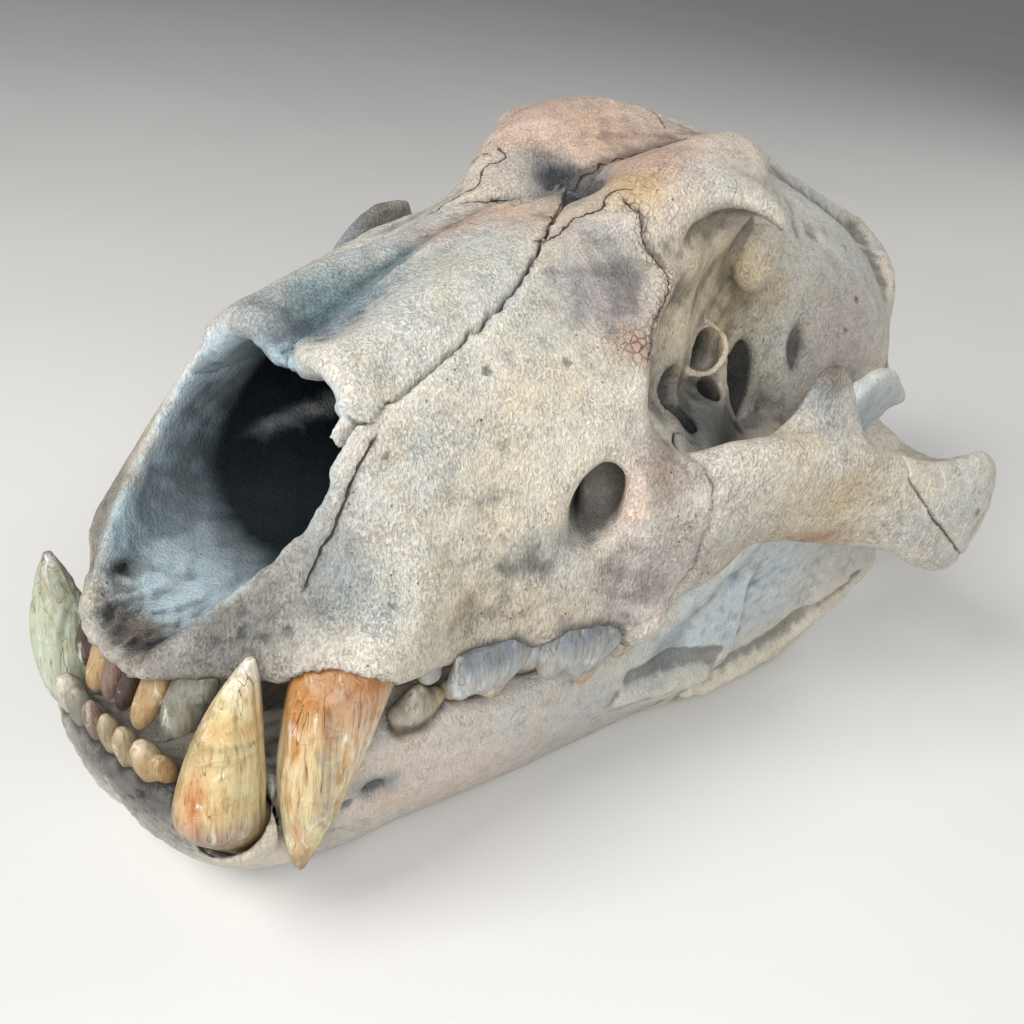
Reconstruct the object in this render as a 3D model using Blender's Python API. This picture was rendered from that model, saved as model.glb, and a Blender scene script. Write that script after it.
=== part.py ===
"""Cave lion skull with its lower jaw, life size, as one still model.

Lengths in the tables are millimetres: x is the animal's left, y runs back
from the incisors, z is the height over the floor. Shapes are built there
and handed over in metres.
"""

import bmesh
import bpy
import numpy as np

for old in list(bpy.data.objects):
    bpy.data.objects.remove(old)

# ---- driving dimensions (mm)
GAP = 0.3
ORIGIN_Y = 187.1  # from the bite of the upper incisors back to the middle of the whole
BONE_VOXEL = 2.2
UPPER_CANINE = dict(root=(39.0, 54.0, 105.0), neck=(46.8, 34.0, 84.0), tip=(46.8, 21.5, 24.0), width=28.6)
UPPER_CANINE_RIGHT = dict(root=(38.5, 54.0, 101.0), neck=(43.4, 38.0, 84.0), tip=(43.4, 25.5, 24.0), width=28.0)
LOWER_CANINE = dict(root=(29.0, 20.0, 22.0), neck=(35.0, 4.8, 46.0), tip=(38.2, 10.8, 92.5), width=24.4)
LOWER_CANINE_RIGHT = dict(root=(27.0, 22.0, 22.0), neck=(31.5, 10.5, 44.0), tip=(38.8, 4.5, 85.5), width=23.6)

MM = 0.001


# ---- curves through named stations
def slopes(t, v):
    """Finite-difference slopes for a cubic through unevenly spaced stations."""
    d = np.diff(v, axis=0) / np.diff(t)[:, None]
    h = np.diff(t)[:, None]
    m = np.empty_like(v)
    m[0], m[-1] = d[0], d[-1]
    m[1:-1] = (d[:-1] * h[1:] + d[1:] * h[:-1]) / (h[1:] + h[:-1])
    return m


def through(t, v, s):
    """Smooth curve through the stations v at t, read at s."""
    t = np.asarray(t, float)
    v = np.asarray(v, float).reshape(len(t), -1)
    s = np.clip(np.asarray(s, float), t[0], t[-1])
    m = slopes(t, v)
    i = np.clip(np.searchsorted(t, s, side="right") - 1, 0, len(t) - 2)
    h = (t[i + 1] - t[i])[:, None]
    u = (s - t[i])[:, None] / h
    return ((2 * u**3 - 3 * u**2 + 1) * v[i] + (u**3 - 2 * u**2 + u) * h * m[i]
            + (3 * u**2 - 2 * u**3) * v[i + 1] + (u**3 - u**2) * h * m[i + 1])


def ring_of(points, turn):
    """Closed smooth ring through the control points, read at turns 0 to 1."""
    p = np.asarray(points, float)
    n = len(p)
    wrapped = np.concatenate([p[-2:], p, p[:3]])
    return through(np.arange(-2, n + 3), wrapped, np.mod(turn, 1.0) * n)


# ---- closed forms, each one a sphere primitive laid over a shape
def form(name, rings, segments, place):
    """A sphere primitive whose rings and meridians are laid on place(t, turn)."""
    bpy.ops.mesh.primitive_uv_sphere_add(segments=segments, ring_count=rings)
    obj = bpy.context.object
    obj.name = name
    co = np.empty(len(obj.data.vertices) * 3)
    obj.data.vertices.foreach_get("co", co)
    co = co.reshape(-1, 3)
    ring = np.rint((0.5 - np.arcsin(np.clip(co[:, 2], -1, 1)) / np.pi) * rings)
    turn = np.mod(np.arctan2(co[:, 1], co[:, 0]) / (2 * np.pi), 1.0)
    turn[(ring == 0) | (ring == rings)] = -1
    t = (np.clip(ring, 1, rings - 1) - 1) / (rings - 2)
    shaped = place(t, turn)
    obj.data.vertices.foreach_set("co", (shaped * MM).ravel())
    obj.data.update()
    outward(obj)
    return obj


def outward(obj):
    """Turns the faces outward by the sign of the enclosed volume."""
    bm = bmesh.new()
    bm.from_mesh(obj.data)
    if bm.calc_volume(signed=True) < 0:
        bmesh.ops.reverse_faces(bm, faces=bm.faces)
    bm.to_mesh(obj.data)
    bm.free()


def section_form(name, stations, half_ring, rings=60, segments=48, sides=(1, -1)):
    """Loft along y of rings made from named half-section points."""
    y = np.array([s[0] for s in stations], float)
    flat = np.array([np.ravel(half_ring(s)) for s in stations])

    def place(t, turn):
        at = y[0] + t * (y[-1] - y[0])
        rows = through(y, flat, at).reshape(len(t), -1, 2)
        out = np.empty((len(t), 3))
        for k in range(len(t)):
            half = rows[k]
            if len(sides) == 2:
                ring = np.concatenate([half, half[-2:0:-1] * [-1, 1]])
            else:
                ring = half
            if turn[k] < 0:
                xz = ring.mean(axis=0)
            else:
                xz = ring_of(ring, turn[k:k + 1])[0]
            out[k] = (xz[0], at[k], xz[1])
        return out

    return form(name, rings, segments, place)


def sweep(name, path, rings=30, segments=20, square=2.0, level=False):
    """Rounded bar along a path of (x, y, z, half_wide, half_high, lean) stations.

    half_wide is measured across the path near the horizontal, half_high across
    it near the vertical, and lean turns the section about the path in degrees.
    With level set, every section lies flat, half_wide along x and half_high along y.
    """
    p = np.asarray([list(s) + [0] * (6 - len(s)) for s in path], float)
    run = np.r_[0, np.cumsum(np.linalg.norm(np.diff(p[:, :3], axis=0), axis=1))]
    run /= run[-1]
    overall = p[-1, :3] - p[0, :3]
    steep = abs(overall[2]) > 0.72 * np.linalg.norm(overall)
    up = np.array([0.0, 1.0, 0.0] if steep else [0.0, 0.0, 1.0])

    def place(t, turn):
        s = through(run, p, t)
        e = 1e-3
        ahead = through(run, p[:, :3], np.minimum(t + e, 1))
        behind = through(run, p[:, :3], np.maximum(t - e, 0))
        d = ahead - behind
        d /= np.linalg.norm(d, axis=1)[:, None]
        side = np.cross(d, up)
        side /= np.linalg.norm(side, axis=1)[:, None]
        high = np.cross(side, d)
        if level:
            side, high = np.zeros_like(d) + [1.0, 0, 0], np.zeros_like(d) + [0, 1.0, 0]
        lean = np.radians(s[:, 5])[:, None]
        a = side * np.cos(lean) + high * np.sin(lean)
        b = -side * np.sin(lean) + high * np.cos(lean)
        ang = 2 * np.pi * turn
        cx = np.sign(np.cos(ang)) * np.abs(np.cos(ang)) ** (2 / square)
        sx = np.sign(np.sin(ang)) * np.abs(np.sin(ang)) ** (2 / square)
        cx[turn < 0] = 0
        sx[turn < 0] = 0
        return s[:, :3] + a * (s[:, 3] * cx)[:, None] + b * (s[:, 4] * sx)[:, None]

    return form(name, rings, segments, place)


def ball(name, centre, radii, lean=0.0, rings=16, segments=24):
    """Ellipsoid, turned about the vertical by lean degrees."""
    c, s = np.cos(np.radians(lean)), np.sin(np.radians(lean))

    def place(t, turn):
        lat = np.pi * (0.06 + 0.88 * t)
        lon = 2 * np.pi * np.maximum(turn, 0)
        r = np.where(turn < 0, 0, 1.0)
        x = np.sin(lat) * np.cos(lon) * r * radii[0]
        y = np.sin(lat) * np.sin(lon) * r * radii[1]
        z = np.where(turn < 0, np.sign(np.cos(lat)), np.cos(lat)) * radii[2]
        return np.stack([centre[0] + x * c - y * s, centre[1] + x * s + y * c,
                         centre[2] + z], axis=1)

    return form(name, rings, segments, place)


# ---- working on objects
def pick(obj):
    bpy.ops.object.select_all(action="DESELECT")
    obj.select_set(True)
    bpy.context.view_layer.objects.active = obj


def mirrored(obj, name=None):
    """A copy on the animal's other side."""
    pick(obj)
    bpy.ops.object.duplicate()
    twin = bpy.context.object
    twin.name = name or obj.name + "_r"
    co = np.empty(len(twin.data.vertices) * 3)
    twin.data.vertices.foreach_get("co", co)
    co = co.reshape(-1, 3) * [-1, 1, 1]
    twin.data.vertices.foreach_set("co", co.ravel())
    twin.data.flip_normals()
    twin.data.update()
    return twin


def both(objects):
    return list(objects) + [mirrored(o) for o in objects]


def joined(name, objects):
    bpy.ops.object.select_all(action="DESELECT")
    for o in objects:
        o.select_set(True)
    bpy.context.view_layer.objects.active = objects[0]
    bpy.ops.object.join()
    objects[0].name = name
    return objects[0]


def apply(obj, kind, **settings):
    """Adds one modifier with these settings and applies it."""
    pick(obj)
    modifier = obj.modifiers.new(kind.lower(), kind)
    for key, value in settings.items():
        setattr(modifier, key, value)
    bpy.ops.object.modifier_apply(modifier=modifier.name)
    return obj


def fused(obj, voxel):
    """One skin over overlapping closed forms."""
    return apply(obj, "REMESH", mode="VOXEL", voxel_size=voxel * MM, adaptivity=0.0)


def cut(obj, cutter, keep=False):
    apply(obj, "BOOLEAN", operation="DIFFERENCE", solver="EXACT", object=cutter)
    if not keep:
        bpy.data.objects.remove(cutter)
    return obj


def added(obj, other):
    apply(obj, "BOOLEAN", operation="UNION", solver="EXACT", object=other)
    bpy.data.objects.remove(other)
    return obj


def common(obj, other, keep=False):
    apply(obj, "BOOLEAN", operation="INTERSECT", solver="EXACT", object=other)
    if not keep:
        bpy.data.objects.remove(other)
    return obj


def copied(obj, name):
    pick(obj)
    bpy.ops.object.duplicate()
    bpy.context.object.name = name
    return bpy.context.object


def fill_smooth(obj, steps, rate=0.5):
    """Evens the surface, filling creases fully and lowering ridges only a little."""
    bm = bmesh.new()
    bm.from_mesh(obj.data)
    edges = np.array([[v.index for v in e.verts] for e in bm.edges])
    bm.free()
    n = len(obj.data.vertices)
    co = np.empty(n * 3)
    obj.data.vertices.foreach_get("co", co)
    co = co.reshape(-1, 3)
    degree = np.bincount(edges.ravel(), minlength=n)[:, None]
    for step in range(steps):
        total = np.zeros_like(co)
        for k in range(3):
            total[:, k] += np.bincount(edges[:, 0], co[edges[:, 1], k], n)
            total[:, k] += np.bincount(edges[:, 1], co[edges[:, 0], k], n)
        move = total / degree - co
        normal = np.empty(n * 3)
        obj.data.vertices.foreach_get("normal", normal)
        normal = normal.reshape(-1, 3)
        along = (move * normal).sum(axis=1)
        share = np.where(along > 0, rate, rate * 0.55)[:, None]
        co = co + share * move
        obj.data.vertices.foreach_set("co", co.ravel())
        obj.data.update()
    return obj


def nudged(obj, centre, radii, move):
    """Moves the surface near centre by move, fading out over the radii."""
    n = len(obj.data.vertices)
    co = np.empty(n * 3)
    obj.data.vertices.foreach_get("co", co)
    co = co.reshape(-1, 3)
    far = (((co / MM - centre) / radii) ** 2).sum(axis=1)
    co += (np.clip(1 - far, 0, 1) ** 2)[:, None] * np.array(move) * MM
    obj.data.vertices.foreach_set("co", co.ravel())
    obj.data.update()
    return obj


# ---- cranium: named half-section points per station along y
def face_ring(s):
    y, roof, cx, cz, bx, bz, wx, wz, lx, lz, ax, az, floor = s
    return ((0, roof), (cx, cz), (bx, bz), (wx, wz), (lx, lz), (ax, az), (0, floor))


#    y    roof  crown      brow       wall      low      alveolus  palate
FACE = (
    (-3, 79, 6, 79.5, 11, 79, 13, 77, 13, 75, 9, 73, 73.5),
    (3, 90, 11, 91, 18, 89, 22.5, 87, 24, 83, 19, 78, 74),
    (12, 103, 14, 104, 22, 99, 27, 93, 32, 86, 28, 79.5, 76),
    (22, 116, 15, 117, 26, 109, 37, 99, 47, 89, 41, 80.5, 77),
    (32, 129, 16, 130, 28, 120, 42, 107, 58, 92, 51, 81, 78),
    (43, 141, 17, 146, 28.5, 136, 45, 113, 60, 92, 54, 79.5, 78),
    (52, 145, 17, 153, 29, 143.5, 47, 118, 58.5, 92, 53, 77, 78),
    (64, 149, 17, 157, 30, 149, 49, 122, 57, 92, 53, 73.5, 78),
    (80, 157, 17, 163, 31, 155, 53, 127, 60, 95, 57, 72, 77),
    (96, 164, 18, 167.5, 32, 159, 57, 131, 66, 96, 63, 70, 76),
    (112, 169, 19, 171, 33.5, 160.5, 60, 136, 69, 99, 67, 68, 75),
    (127, 171, 21, 172.5, 35.5, 162, 61, 141, 74, 103, 69, 66, 73),
    (142, 171.5, 23, 175, 37.5, 162.5, 57, 146, 71, 106, 62, 68, 73),
    (156, 174, 25, 184, 41, 171, 50, 152, 60, 108, 46, 72, 73),
    (168, 180.5, 26, 191, 44, 178, 46, 160, 46, 112, 36, 76, 73),
    (180, 183, 27, 193, 45, 181, 42, 160, 38, 115, 30, 78, 76),
    (194, 184.5, 27, 194, 46, 183, 38, 158, 34, 115, 27, 82, 84),
    (206, 186, 26, 194, 41, 184, 33, 156, 32, 115, 26, 86, 88),
    (220, 187, 22, 192, 33, 182, 30, 152, 32, 112, 26, 88, 90),
)


def case_ring(s):
    y, roof, ux, uz, sx, sz, lx, lz, floor = s
    return ((0, roof), (ux, uz), (sx, sz), (lx, lz), (lx * 0.5, floor), (0, floor))


#    y    roof  shoulder  side     low      floor
CASE = (
    (196, 184, 22, 186, 31, 155, 26, 100, 88),
    (218, 186, 22, 188, 30, 148, 33, 92, 82),
    (240, 183, 16, 182, 39, 138, 43, 89, 78),
    (258, 177, 20, 168, 47, 130, 48, 87, 77),
    (285, 164, 26, 157, 54, 120, 49, 90, 77),
    (308, 154, 27, 148, 54, 114, 50, 88, 76),
    (328, 145, 25, 139, 47, 110, 46, 86, 76),
    (346, 137, 21, 131, 37, 106, 37, 84, 75),
    (362, 131, 18, 125, 27, 101, 29, 84, 76),
    (374, 117, 10, 113, 15, 99, 16, 88, 80),
)

#    y, z of the crest's top edge
CREST = ((238, 183), (256, 184), (272, 179), (292, 169.5), (311, 163), (332, 155), (355, 147), (380, 137.5))

NUCHAL = ((0, 378, 132, 5, 6), (19, 364, 127, 5, 6), (31, 350, 122, 5, 6), (37, 340, 115, 5, 6),
          (40, 334, 106, 5, 6), (44, 328, 96, 6, 6), (50, 324, 88, 7, 7))

ARCH = ((60, 124, 97, 15, 24), (74, 136, 101, 11, 24, -6), (83, 150, 109, 8, 21.5, -12),
        (92, 172, 107.5, 7, 20, -14), (102, 196, 101.5, 6.5, 18.5, -8), (111, 216, 95.5, 6.5, 17),
        (116.5, 234, 89.5, 6.5, 21.5), (118.5, 248, 87, 6.5, 23.5), (114, 262, 87.5, 8, 15),
        (98, 268, 84.5, 11, 6.2), (78, 271, 84, 12, 6.2), (54, 276, 90, 13, 11))


def build_cranium():
    face = section_form("face", FACE, face_ring, rings=84, segments=64)
    case = section_form("case", CASE, case_ring, rings=56, segments=56)
    crest_y = [c[0] for c in CREST]
    crest_z = [c[1] for c in CREST]
    crest = sweep("crest", [(0, y, z - 11, 4.5, 11) for y, z in zip(crest_y, crest_z)], 36, 20, 1.6)
    for cutter in both([orbit_cutter()]):
        cut(face, cutter)
    parts = [
        sweep("arch", ARCH, 70, 28, 2.4),
        sweep("jugal_process", ((91, 172, 112, 4.5, 24, 22), (91, 177, 122, 4.4, 19.5, 22), (90, 179, 133, 4.2, 12.5, 22),
                                (89, 179, 142, 3.6, 7.2, 22), (88.3, 178.5, 146, 2.5, 4.5, 22)), 20, 20),
        sweep("malar", ((60, 119, 82, 13, 14), (70, 124, 73, 8, 12), (76.5, 128, 66.5, 5.5, 9)), 14, 18),
        sweep("postorbital", ((36, 182, 183, 12, 8), (46, 187, 180, 9, 6), (54, 191, 175.5, 5.5, 5),
                              (58, 193, 171, 3.5, 3.5)), 20, 18),
        sweep("supraorbital", ((60, 122, 136, 4, 5), (54, 130, 147, 4, 4.5), (47.5, 140, 153, 4.5, 4.5),
                               (43.5, 153, 162.5, 5, 5), (40, 170, 173, 5, 5), (42, 184, 178, 6, 5.5)), 24, 16),
        sweep("nuchal", NUCHAL, 34, 16),
        sweep("mastoid", ((48, 312, 90, 10, 11), (52, 320, 81, 6.5, 7), (52, 323, 73, 4.5, 5)), 16, 16),
        sweep("paroccipital", ((38, 344, 88, 9, 8), (41, 350, 76, 6, 6), (42, 353, 66, 4, 4)), 16, 14),
        ball("condyle", (20, 371, 84), (11, 11, 12), 25),
        sweep("orbit_floor", ((56, 146, 100, 12, 15), (47, 168, 99, 15, 16), (41, 190, 97, 13, 15.5),
                              (36, 208, 95, 10, 14), (29, 224, 95, 7, 12)), 22, 20),
        sweep("sphenoid_wall", ((50, 172, 90, 8, 12), (49, 200, 87, 8, 12), (47, 222, 84, 8, 11),
                                (45, 246, 82, 8, 9)), 20, 18),
        ball("bulla", (30, 318, 74), (14, 20, 14), -12),
        sweep("pterygoid", ((28, 166, 84, 5, 14), (24, 190, 80, 4, 15), (21, 208, 78, 4, 14),
                            (21, 222, 74, 4, 12), (23, 234, 68, 3, 6)), 24, 16),
        sweep("postglenoid", ((68, 282, 86, 10, 5), (80, 284, 80, 8, 4.5), (90, 283, 73, 5, 3.5)), 14, 14),
    ]
    lean = sweep("jugal_lean", ((-86, 146, 118, 4, 12), (-87, 152, 128, 4, 10), (-88, 162, 136, 4, 9),
                                (-88, 171, 141, 4, 7), (-88, 176, 143, 3.2, 5)), 18, 18)
    skull = joined("cranium", [face, case, crest, lean] + both(parts))
    skull = fused(skull, BONE_VOXEL)
    fill_smooth(skull, 4)
    for cutter in cranium_cutters():
        cut(skull, cutter)
    skull = fused(skull, BONE_VOXEL)
    fill_smooth(skull, 4)
    nudged(skull, (-56, 34, 96), (22, 44, 40), (5.5, 3, 0))
    nudged(skull, (-28, 7, 87), (16, 16, 14), (3, 1, -1))
    nudged(skull, (-27, 85, 160), (18, 40, 18), (1.5, 0, -1.5))
    nudged(skull, (-24, 110, 168), (20, 44, 20), (2.5, 0, -5))
    nudged(skull, (-46, 150, 163), (18, 24, 20), (2, 0, -3.5))
    return skull


def nasal_ring(s):
    y, top, tx, ux, uz, wx, wz, bx, bz, floor = s
    return ((0, top), (tx, top + 4), (ux, uz), (wx, wz), (bx, bz), (0, floor))


#    y    top  flat  upper     widest    low      floor
NOSE = (
    (-30, 126, 13, 16, 124, 16, 105, 8, 80, 76),
    (-6, 126, 13, 16, 124, 17, 105, 9, 81, 77),
    (3, 129, 13, 18, 126, 19, 105, 12, 84, 80),
    (12, 132, 14, 21, 129, 22, 106, 16, 87, 84),
    (24, 136, 15, 25, 132, 27, 110, 22, 92, 87),
    (34, 138, 16, 26, 134, 30, 114, 27, 95, 89),
    (46, 139, 16, 25, 136, 33, 118, 29, 98, 90),
    (64, 143, 16, 25, 139, 35, 121, 31, 101, 92),
    (84, 150, 15, 24, 144, 36, 124, 32, 103, 94),
    (108, 160, 14, 23, 151, 36, 127, 31, 104, 95),
    (132, 162, 12, 22, 153, 33, 129, 28, 105, 96),
    (156, 161, 10, 18, 153, 27, 129, 22, 106, 96),
    (180, 150, 8, 14, 144, 18, 125, 14, 105, 96),
)


def orbit_cutter():
    return sweep("orbit", ((120, 168, 140, 46, 31), (95, 163, 141, 42, 29.5), (70, 159, 142, 37.5, 27),
                           (54, 158, 142, 31, 24), (43, 158, 141, 21, 17)), 24, 28)


def cranium_cutters():
    canal = sweep("canal", ((84, 82, 108, 11, 15), (66, 104, 112.5, 8, 12), (56, 122, 113, 6, 9.5),
                            (52, 145, 118, 6, 8)), 20, 20)
    choana = sweep("choana", ((0, 172, 76, 16, 9), (0, 200, 72, 16, 13), (0, 240, 66, 15, 16)), 16, 24)
    nose = section_form("nose", NOSE, nasal_ring, rings=40, segments=40)
    front = sweep("aperture", ((0, -30, 150, 26, 36), (0, 20, 150, 26, 36), (0, 44, 150, 26, 36),
                               (0, 50, 150, 25, 34)), 16, 24, 5.0)
    magnum = sweep("magnum", ((0, 400, 93, 15, 13), (0, 376, 94, 14, 13), (0, 345, 96, 13, 12)), 12, 24)
    cavity = fused(joined("cavity", [nose, front]), BONE_VOXEL)
    return [cavity, choana, magnum] + both([canal])


# ---- mandible
def jaw_ring(s):
    y, inner, ox, oz, ux, top, low = s
    return ((inner + 2, top - 2), ((inner + ox) / 2, top), (ox - 2, top - 2), (ox, oz),
            ((ox + ux) / 2 + 1.5, (oz + low) / 2), (ux, low + 2.5), ((inner + ux) / 2, low),
            (inner + 1, low + 5), (inner, (top + low) / 2))


#   y   inner  widest  under top  low
JAW = (
    (-8, -2, 15, 50, 10, 53, 45),
    (-4, -2, 24, 47, 14, 53, 32),
    (3, -2, 36, 42, 18, 49, 19),
    (11, -2, 43, 38, 22, 44, 10),
    (24, -2, 40, 34, 26.5, 42, 3),
    (38, 3, 39, 31, 30, 43, 0),
    (50, 14, 42.5, 30, 33.5, 47.5, -1),
    (66, 23.5, 48.5, 29, 36, 50, -1),
    (90, 29, 55, 29, 42, 48.5, 0),
    (112, 33, 59, 30, 46, 49, -1),
    (134, 37, 63, 32, 50, 52, -1),
    (152, 43, 69, 34, 53, 56, -1),
    (170, 49.5, 74.5, 36, 56, 60, -1),
    (196, 58, 80, 38, 63, 62, 0),
)

#   y   x low, x top, low, top
RAMUS = ((160, 54, 64, 6, 60), (178, 59, 71, 3, 78), (196, 63, 77, 1, 102), (212, 65.5, 81, 0, 122),
         (228, 68.5, 83, 2, 131), (242, 70.5, 84, 8, 126.5), (252, 72, 85, 14, 117))


def plate_ring(s):
    y, xl, xt, low, top = s
    mid, xm = (low + top) / 2, (xl + xt) / 2 + 1
    return ((xl - 4, low + 7), (xl, low), (xl + 4, low + 5), (xm + 3.5, mid), (xt + 4, top - 6),
            (xt + 1, top), (xt - 3, top - 6), (xm - 4, mid))


def build_jaw(inward=2.0, rearward=-0.8):
    body = section_form("jaw_body", JAW, jaw_ring, rings=70, segments=40, sides=(1,))
    plate = section_form("jaw_ramus", RAMUS, plate_ring, rings=34, segments=32, sides=(1,))
    pieces = [
        body, plate,
        sweep("canine_socket", ((28, 33, 15, 10, 10), (30, 27, 25, 12, 12),
                                (33.5 - inward, 17.5 + 0.6 * rearward, 34, 12.6, 13),
                                (37 - inward, 9 + rearward, 44.5, 13.8, 14.4)), 18, 24),
        sweep("jaw_neck", ((76, 244, 50, 6, 30), (79, 256, 50, 6, 27), (82, 264, 51, 5.5, 22),
                           (85, 271, 53, 4.5, 15)), 18, 24, 2.6),
        sweep("jaw_condyle", ((71, 270, 65, 6, 6), (82, 269, 66.5, 7.5, 8), (95, 268, 66.5, 8, 8.2),
                              (105, 267, 65.5, 7, 7), (111, 266, 64.5, 4, 4)), 18, 18),
        sweep("jaw_angle", ((71, 246, 19, 5, 13), (75, 262, 28, 6, 12), (78, 275, 34, 5, 8),
                            (79, 285, 37, 3.5, 4.5)), 18, 18),
        sweep("jaw_rim", ((55, 182, 6, 6, 7), (60, 200, 5, 6, 6), (64.5, 216, 6, 6, 6.5), (70, 234, 9, 6, 6.5),
                          (73.5, 250, 17, 6, 7), (75.5, 272, 29, 5, 7)), 22, 18),
        sweep("coronoid_front", ((62, 156, 50, 9, 12), (70, 176, 70, 7, 10), (77, 194, 94, 5.5, 10),
                                 (82, 208, 114, 5, 9), (83, 222, 126, 4, 6)), 22, 18),
    ]
    jaw = joined("mandible_left", pieces)
    jaw = fused(jaw, BONE_VOXEL)
    cut(jaw, sweep("coronoid_notch", ((55, 258, 95.5, 16.5, 15), (110, 258, 95.5, 16.5, 15)), 6, 28))
    cut(jaw, sweep("coronoid_hook", ((55, 250, 104.5, 18, 8.5), (110, 250, 104.5, 18, 8.5)), 6, 28))
    jaw = fused(jaw, BONE_VOXEL)
    fill_smooth(jaw, 5)
    return jaw


def canine_form(name, spec, grow=0.0):
    """Canine from the root's end to the tip; grow widens it to cut its socket."""
    root, neck, tip = (np.array(spec[k]) for k in ("root", "neck", "tip"))
    w = spec["width"] / 2
    rows = []
    for share, size in ((0.0, 0.54), (0.35, 0.76), (0.7, 0.92)):
        centre = root + (neck - root) * share
        rows.append((*centre, w * size * 0.84 + grow, w * size + grow))
    for share, size in ((0.0, 1.0), (0.25, 0.93), (0.5, 0.76), (0.75, 0.5), (0.92, 0.26), (1.0, 0.1)):
        centre = neck + (tip - neck) * share + np.array([0, -2.0, 0]) * np.sin(np.pi * share)
        rows.append((*centre, w * size * 0.82 + grow, w * size + grow))
    made = sweep(name, rows, 11, 12, level=True)
    middle, half = (root[2] + tip[2]) / 2, abs(root[2] - tip[2]) / 2
    for vertex in made.data.vertices:
        vertex.co.z = (middle + (vertex.co.z / MM - middle) * (1 + 1.5 * grow / half)) * MM
    return made


def tooth(name, rows, rings=5, segments=8):
    """Small crown: stations of (x, y, z, half_wide, half_long) from the root down."""
    return sweep(name, rows, rings, segments, level=True)


def incisor(name, base, tip, wide, deep):
    """Peg from its alveolus to a blunt tip."""
    base, tip = np.array(base, float), np.array(tip, float)
    rows = [(*(base + (tip - base) * t), wide * k, deep * k)
            for t, k in ((-0.3, 0.8), (0.0, 0.95), (0.45, 1.0), (0.85, 0.75), (1.0, 0.35))]
    return sweep(name, rows, 4, 6, level=True)


def upper_teeth():
    return [
        incisor("i1", (3.9, 3, 76), (3.8, -0.5, 61), 3.2, 3.6),
        incisor("i2", (12.3, 4, 76), (12.0, 0.5, 60.5), 3.7, 4.2),
        incisor("i3", (21.5, 10.5, 81), (20.5, 6, 61.5), 5.2, 5.6),
        incisor("p2", (51, 60, 77), (51.5, 59, 69), 3.4, 3.8),
        tooth("p3", ((57, 80, 78, 5.5, 13), (57.3, 80, 70, 5.6, 12.5), (57.5, 79.5, 65, 4, 6), (57.5, 79, 60, 1, 1.4))),
        tooth("p4a", ((64, 108, 76, 6.5, 15), (64.3, 108, 68, 6.5, 14), (64.3, 109, 62, 4, 6.5), (64, 110, 56.5, 1, 1.6))),
        tooth("p4b", ((66, 124, 74, 5, 9), (66.5, 124, 67, 4.8, 9), (66.5, 123, 62, 3, 7), (66, 122, 60.5, 1.2, 4))),
        incisor("m1", (60, 133, 74), (60, 133, 67), 4, 3.4),
    ]


def lower_teeth():
    return [
        incisor("i1", (3.5, -2.5, 48), (3.6, -6.5, 61), 2.8, 3.2),
        incisor("i2", (10.5, -2, 48), (10.8, -6, 61.5), 3.1, 3.5),
        incisor("i3", (17.5, 0, 48), (17.6, -5, 62), 3.7, 4.2),
        tooth("p3", ((41.5, 66, 46, 4.5, 9), (42.5, 66, 52, 4.6, 8.5), (43.2, 65, 56, 3, 4.5), (43.3, 64.5, 59.5, 1, 1.4))),
        tooth("p4", ((46, 90, 43, 5.5, 13), (46.5, 90, 51, 5.4, 12), (46.8, 89, 56, 3.5, 6), (47, 88.5, 61, 1, 1.4))),
        tooth("m1a", ((50, 112, 46, 5.5, 11), (50.5, 112, 53, 5.2, 11), (50.5, 111, 58, 3, 7), (50.5, 110, 62, 1, 2))),
        tooth("m1b", ((52.5, 127, 48, 5.5, 11), (52, 127, 55, 5, 10), (52, 128, 60, 3, 7), (52, 129, 63, 1, 2))),
    ]


def prism(name, outline, low, high, axis=2):
    """Straight-sided body over a closed outline, between two levels along an axis."""
    n = len(outline)
    others = [k for k in (0, 1, 2) if k != axis]
    points = np.zeros((2 * n, 3))
    for k, level in enumerate((low, high)):
        points[k * n:(k + 1) * n, others] = outline
        points[k * n:(k + 1) * n, axis] = level
    faces = [tuple(range(n))[::-1], tuple(range(n, 2 * n))]
    faces += [(k, (k + 1) % n, n + (k + 1) % n, n + k) for k in range(n)]
    mesh = bpy.data.meshes.new(name)
    mesh.from_pydata((points * MM).tolist(), [], faces)
    obj = bpy.data.objects.new(name, mesh)
    bpy.context.scene.collection.objects.link(obj)
    outward(obj)
    return obj


def curtain(name, path, low, high, axis=2):
    """Wall one gap thick along an open path, to part two bones at their suture."""
    p = np.asarray(path, float)
    d = np.gradient(p, axis=0)
    side = np.stack([-d[:, 1], d[:, 0]], axis=1)
    side *= GAP / 2 / np.linalg.norm(side, axis=1)[:, None]
    outline = np.concatenate([p + side, (p - side)[::-1]])
    return prism(name, outline, low, high, axis)


#    half the nasal bone's breadth at each y
NASAL_EDGE = ((46, 28.5), (56, 30.5), (66, 31.5), (82, 31.3), (97, 29.5), (113, 25), (129, 17.5), (144, 9), (158, 1.5))
JUGAL_FRONT = ((112, 112), (96, 126), (85, 134), (74, 139), (65, 145), (63, 152), (64, 166), (66, 186))
JUGAL_REAR = ((203, 150), (203, 121), (203.5, 110), (219.5, 93), (242, 75), (262, 59))


def nasal_prism(name, grow):
    outline = [(GAP / 2 - grow, 40)]
    outline += [(x + grow, y - (grow if k == 0 else 0)) for k, (y, x) in enumerate(NASAL_EDGE)]
    outline.insert(1, (NASAL_EDGE[0][1] + grow, 40))
    outline += [(x + grow, NASAL_EDGE[-1][0] + 2 + grow) for x in (0.7, GAP / 2 - 2 * grow)]
    return prism(name, outline, 112, 215)


def triangles(obj):
    return sum(len(p.vertices) - 2 for p in obj.data.polygons)


def simplified(obj, count):
    return apply(obj, "DECIMATE", ratio=min(1.0, count / triangles(obj)))


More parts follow.
